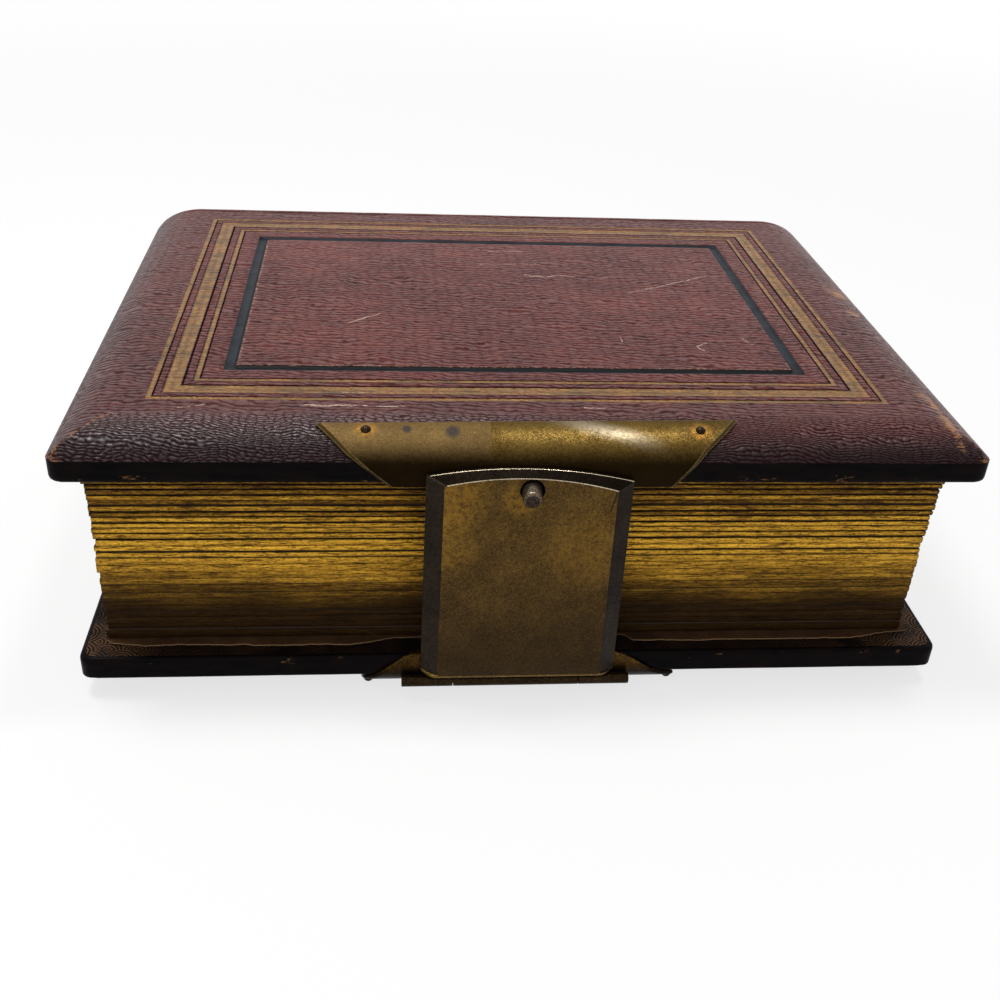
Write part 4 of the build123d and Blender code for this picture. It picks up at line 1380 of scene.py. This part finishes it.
def claspShape():
    # rings of points from the back over the bevels to the hole, each with the surface that ends there
    fore = coverLow.y / mm
    back, front = fore - clasp["back"], fore - clasp["front"]
    rim = back - clasp["rim"]
    hx, hz, hr = clasp["hole"]
    outline, kinds = claspLoop(0, 0)
    count = len(outline)
    spin = np.arctan2(outline[:, 1] - hz, outline[:, 0] - hx)
    isFoot = np.array(kinds) == 2

    def flat(loop, y):
        return np.stack([loop[:, 0], np.broadcast_to(y, count), loop[:, 1]], -1)

    def ring(radius, y):
        return flat(np.stack([hx + radius * np.cos(spin), hz + radius * np.sin(spin)], -1), y)

    loops = [("back", flat(outline, back)), ("wall", flat(outline, rim))]
    for share in (0.045, 0.16, 0.30, 0.45, 0.60, 0.75, 0.88, 1.0):
        angle = share * math.pi / 2
        depth = np.where(isFoot, math.sin(angle), share)
        bevel = flat(claspLoop(share, 1 - math.cos(angle))[0], rim + (front + 0.05 - rim) * depth)
        loops.append(("rim" if share < 0.1 else "bevel", bevel))
    # a worn edge round the face, lit along its top with a painted highlight, then the face as far as the hole
    face = claspLoop(1, 1)[0]
    inner = flat(face + (np.array([hx, 30]) - face) * 0.008, front)
    mouth = ring(hr + 0.1, front)
    loops.append(("rim", inner))
    loops += [("face", inner * (1 - k) + mouth * k) for k in (0.12, 0.3, 0.5, 0.7, 0.88)]
    loops += [("face", mouth), ("rim", ring(hr, front + 0.1)), ("back", ring(hr, back))]
    faces, slots = [], []
    for number in range(len(loops)):
        after = (number + 1) % len(loops)
        faces += bandFaces(number * count, after * count, count)
        slots += [claspSlots[loops[after][0]][kind] for kind in kinds]
    return np.concatenate([loop for surface, loop in loops]) * mm, faces, slots


def makeClasp():
    points, faces, slots = claspShape()
    start, stop = barrel["middle"]
    outer, bore = barrel["radius"], barrel["bore"]
    sheet, top = 0.72 * mm, 2.6 * mm
    climb = math.degrees(math.atan2(sheet, math.sqrt(outer ** 2 - sheet ** 2)))
    loop = [(sheet - 0.5 * mm, top), (sheet, top)] + arcPoints(outer, -180 + climb, 160, 34)
    loop += arcPoints(bore, 160, -130, 20)
    knucklePoints, knuckleFaces = rolledKnuckle(start, stop, loop)
    points, faces = joined([(points, faces), (knucklePoints, knuckleFaces)])
    slots += [5] * len(knuckleFaces)
    names = ("claspFace", "claspBevelDarkReflection", "claspTopDarkReflection", "wornAndLitBrass", "claspFoot", "barrelBrass")
    piece = makePiece("claspPlate", points, faces, [brass[name] for name in names], slots)
    sharpEdges(piece, 25)
    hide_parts("clasp_plate")
    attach(piece, "clasp")
    print("clasp made")


# the stud that the clasp snaps over: places in millimetres, leaning down a little
stud = {
    "root": (-0.75, 0.6, 44.75),    # the middle value is the depth in front of the cover's fore edge
    "tip": (-1.05, 6.2, 43.9),
    # share of the way from root to tip, and radius
    "profile": ((0.0, 1.25), (0.2, 1.62), (0.86, 1.62), (0.915, 1.60), (0.96, 1.50), (0.985, 1.36),
                (1.0, 1.18), (0.975, 0.98), (0.955, 0.6), (0.965, 0.3), (0.985, 0.0)),
}


def makeStud():
    fore = coverLow.y / mm
    (ax, ay, az), (bx, by, bz) = stud["root"], stud["tip"]
    root, tip = Vector((ax, fore - ay, az)), Vector((bx, fore - by, bz))
    along = (tip - root).normalized()
    side = along.cross(Vector((0, 0, 1))).normalized()
    up = side.cross(along)
    turns = 48
    points, faces, slots = [], [], []
    for share, radius in stud["profile"][:-1]:
        centre = root + (tip - root) * share
        for k in range(turns):
            spin = 2 * math.pi * k / turns
            points.append((centre + radius * (math.cos(spin) * side + math.sin(spin) * up)) * mm)
    rings = len(stud["profile"]) - 1
    for r in range(rings - 1):
        for k in range(turns):
            a, b = r * turns + k, r * turns + (k + 1) % turns
            faces.append((b, a, a + turns, b + turns))
            slots.append(1 if r >= 6 else 0)
    last = (rings - 1) * turns
    points.append((root + (tip - root) * stud["profile"][-1][0]) * mm)
    for k in range(turns):
        faces.append((last + (k + 1) % turns, last + k, len(points) - 1))
        slots.append(1)
    faces.append(list(range(turns)))
    slots.append(0)
    piece = makePiece("catchStud", points, faces, [brass["studBrass"], brass["studEnd"]], slots)
    sharpEdges(piece, 50)
    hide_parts("catch_stud")
    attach(piece, "front_cover")
    print("stud made")


makeCatchPlate()
makeHingePlate()
print("plates made")
makeClasp()
makeStud()


# the leather over the spine, and the two curved strips over the joints where the covers open
spine = {
    "thickness": 1.0 * mm,
    "halfLength": 73.2 * mm,
    "trim": 0.35 * mm,
    "cornerLength": 6.0 * mm,
    "cornerShare": 0.24,     # how much shorter the leather is at its very ends
    "capRound": 0.5 * mm,
}

jointStrip = {
    "halfLength": 73.0 * mm,
    "sink": 1.7 * mm,            # how far the ends turn in
    "sinkLength": 5.5 * mm,
    "thickness": 0.4 * mm,
    # depths and drops from the cover's back edge and outer face, in millimetres
    "path": ((-1.6, -0.02), (-1.1, -0.05), (-0.6, -0.01), (-0.25, 0.14), (0.0, 0.38), (0.3, 0.75), (0.6, 1.2),
             (0.9, 1.8), (1.15, 2.4), (1.35, 3.0)),
}


def spineArc(share, xs):
    # outer face of the spine by share of the way down; how deep, how high and how it leans
    half = (spineHigh.z - spineLow.z) / 2 - spine["trim"]
    bulge = spineHigh.y - spineLow.y - spine["trim"]
    radius = (half ** 2 + bulge ** 2) / (2 * bulge)
    past = np.clip((np.abs(xs) - spine["halfLength"] + spine["cornerLength"]) / spine["cornerLength"], 0, 1)
    short = 1 - spine["cornerShare"] * (1 - np.sqrt(1 - past ** 2))
    spin = math.asin(half / radius) * (1 - 2 * share) * short
    return spineHigh.y - radius + radius * np.cos(spin), middleHeight + radius * np.sin(spin), spin


def makeSpine():
    half, cap = spine["halfLength"], spine["capRound"]
    middle = np.linspace(-half + cap, half - cap, 150)
    xs = np.concatenate([[-half, -half + 0.3 * cap], middle, [half - 0.3 * cap, half]])
    drop = np.concatenate([[1, 0.35, 0], np.zeros(148), [0, 0.35, 1]]) * cap
    outer, inner = [], []
    for share in np.linspace(0, 1, 64):
        y, z, spin = spineArc(share, xs)
        edge = 0.45 * mm * max(0.0, 1 - min(share, 1 - share) / 0.02)
        uneven = 0.05 * mm * softNoise(xs / (6 * mm), z / (3 * mm), 21)
        lower = np.maximum(drop, edge) + uneven
        outer.append(np.stack([xs, y - lower * np.cos(spin), z - lower * np.sin(spin)], -1))
        thick = spine["thickness"]
        inner.append(np.stack([xs, y - thick * np.cos(spin), z - thick * np.sin(spin)], -1))
    points = slabPoints(outer, inner)
    values = {"rim": np.zeros(len(points)), "wear": np.zeros(len(points))}
    piece = makePiece("spineLeather", points, slabFaces(len(outer), len(xs)), [leatherSpine], None, values)
    sharpEdges(piece, 60)
    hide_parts("spine_leather")
    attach(piece, "block")
    print("spine made")


def makeStrip(name, front):
    path = np.array(jointStrip["path"]) * mm
    steps = np.concatenate([[0], np.cumsum(np.hypot(*np.diff(path, axis=0).T))])
    fine = np.linspace(0, steps[-1], 22)
    path = np.stack([np.interp(fine, steps, path[:, k]) for k in (0, 1)], -1)
    tangent = np.gradient(path, axis=0)
    size = np.hypot(tangent[:, 0], tangent[:, 1])[:, None]
    into = np.stack([-tangent[:, 1], tangent[:, 0]], -1) / size
    share = np.linspace(0, 1, len(path))
    thick = jointStrip["thickness"] * np.clip(np.minimum(share, 1 - share) / 0.12, 0.12, 1)
    xs = np.linspace(-jointStrip["halfLength"], jointStrip["halfLength"], 140)
    past = np.clip((np.abs(xs) - jointStrip["halfLength"]) / jointStrip["sinkLength"] + 1, 0, 1)
    sunkBy = jointStrip["sink"] * (1 - np.sqrt(1 - past ** 2))
    outer, inner = [], []
    for (y, drop), (ny, nd), t in zip(path, into, thick):
        uneven = 0.03 * mm * softNoise(xs / (5 * mm), xs * 0 + y / (2 * mm), 31)
        for sheet, offset in ((outer, uneven), (inner, uneven * 0 + t)):
            depth = coverHigh.y + y + ny * offset - sunkBy
            sheet.append(np.stack([xs, depth, coverHigh.z - drop - nd * offset - sunkBy], -1))
    points = slabPoints(outer, inner)
    faces = slabFaces(len(path), len(xs))
    start = Vector((0, coverHigh.y - 0.5 * mm, coverHigh.z))
    end = Vector((0, coverHigh.y + 0.9 * mm, coverHigh.z - 1.2 * mm))
    if not front:
        points[:, 2] = 2 * middleHeight - points[:, 2]
        faces = [face[::-1] for face in faces]
        start.z, end.z = 2 * middleHeight - start.z, 2 * middleHeight - end.z
    values = {"rim": np.full(len(points), 0.1), "wear": np.full(len(points), 0.3 if front else 0.1)}
    piece = makePiece(name, points, faces, [leatherPlain], None, values)
    sharpEdges(piece, 60)
    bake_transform(piece)


makeSpine()
makeStrip("frontJoint", True)
makeStrip("backJoint", False)
print("joint strips made")


def dressNodes():
    finishes = {
        "front_board": board, "back_board": board, "spine_strip": board,
        "front_pastedown": endpaper, "back_pastedown": endpaper,
        "front_flyleaf": frontFlyPaper,
        "spine_lining": linen, "headband": thread, "tailband": thread,
        "hinge_pin": brass["nailBrass"],
        "catch_plate_nail_left": brass["nailBrass"], "catch_plate_nail_right": brass["nailBrass"],
        "hinge_plate_nail_left": brass["hingeNail"], "hinge_plate_nail_right": brass["hingeNail"],
    }
    for node, material in finishes.items():
        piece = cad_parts[node]
        piece.data.materials.clear()
        piece.data.materials.append(material)
    print("CAD nodes dressed:", len(finishes))


dressNodes()


# floor, lights and background
studio = {
    "ambient": 0.45,
    # place, size and power
    "leftLight": ((-0.22, 0.05, 0.72), 0.20, 2.9),
    "rightLight": ((0.15, 0.03, 0.72), 0.10, 1.25),
    "frontLight": ((-0.35, -0.75, 0.45), 0.5, 0.8),
    "floor": (0.86, 0.86, 0.86),
    "floorReach": 3.0,
    "fadeFrom": 0.16,
    "fadeTo": 0.75,
    "floorGlow": 0.72,    # how much of plain white the floor shows to the camera
}


def areaLight(name, spot, size, power):
    data = bpy.data.lights.new(name, "AREA")
    data.shape = "SQUARE"
    data.size = size
    data.energy = power
    lamp = bpy.data.objects.new(name, data)
    lamp.location = spot
    lamp.rotation_mode = "QUATERNION"
    lamp.rotation_quaternion = (Vector((0, 0, 0.02)) - Vector(spot)).to_track_quat("-Z", "Y")
    bpy.context.scene.collection.objects.link(lamp)


def seenStraight():
    # 1 for what the camera sees, also in a mirror or through glass, and 0 for light that bounces
    rays = put("ShaderNodeLightPath", {})
    straight = calc("MAXIMUM", rays.outputs["Is Camera Ray"], rays.outputs["Is Glossy Ray"])
    return calc("MAXIMUM", straight, rays.outputs["Is Transmission Ray"])


def makeWorld():
    world = bpy.data.worlds.new("studio")
    startTree(world)
    bpy.context.scene.world = world
    strength = blended(seenStraight(), studio["ambient"], 1.0)
    glow = put("ShaderNodeBackground", {"Color": (1, 1, 1, 1), "Strength": strength})
    put("ShaderNodeOutputWorld", {"Surface": glow.outputs[0]})


def floorMaterial():
    material, shader = newMaterial("floorPaper")
    surface = shader.outputs[0].links[0].to_socket
    dress(shader, colour=(*studio["floor"], 1), roughness=0.9)
    # further off the floor fades into the white background
    distance = vectorCalc("LENGTH", place())
    glow = eased(distance, studio["fadeFrom"], studio["fadeTo"], studio["floorGlow"], 1.0)
    white = put("ShaderNodeEmission", {"Color": (1, 1, 1, 1), "Strength": 1.0})
    pale = put("ShaderNodeMixShader", {0: seenStraight() * glow, 1: shader.outputs[0], 2: white.outputs[0]})
    # nothing hides the album from below
    clear = put("ShaderNodeBsdfTransparent", {})
    beneath = put("ShaderNodeNewGeometry", {}).outputs["Backfacing"]
    both = put("ShaderNodeMixShader", {0: beneath, 1: pale.outputs[0], 2: clear.outputs[0]})
    plug(both.outputs[0], surface)
    return material


def makeFloor():
    reach = studio["floorReach"]
    corners = [(-reach, -reach, 0), (reach, -reach, 0), (reach, reach, 0), (-reach, reach, 0)]
    floor = makePiece("floor", corners, [(0, 1, 2, 3)], [floorMaterial()])
    floor.location.z = backLow.z - 0.1 * mm


for light in ("leftLight", "rightLight", "frontLight"):
    areaLight(light, *studio[light])
makeWorld()
makeFloor()
bpy.context.scene.view_settings.view_transform = "Standard"
print("studio set")
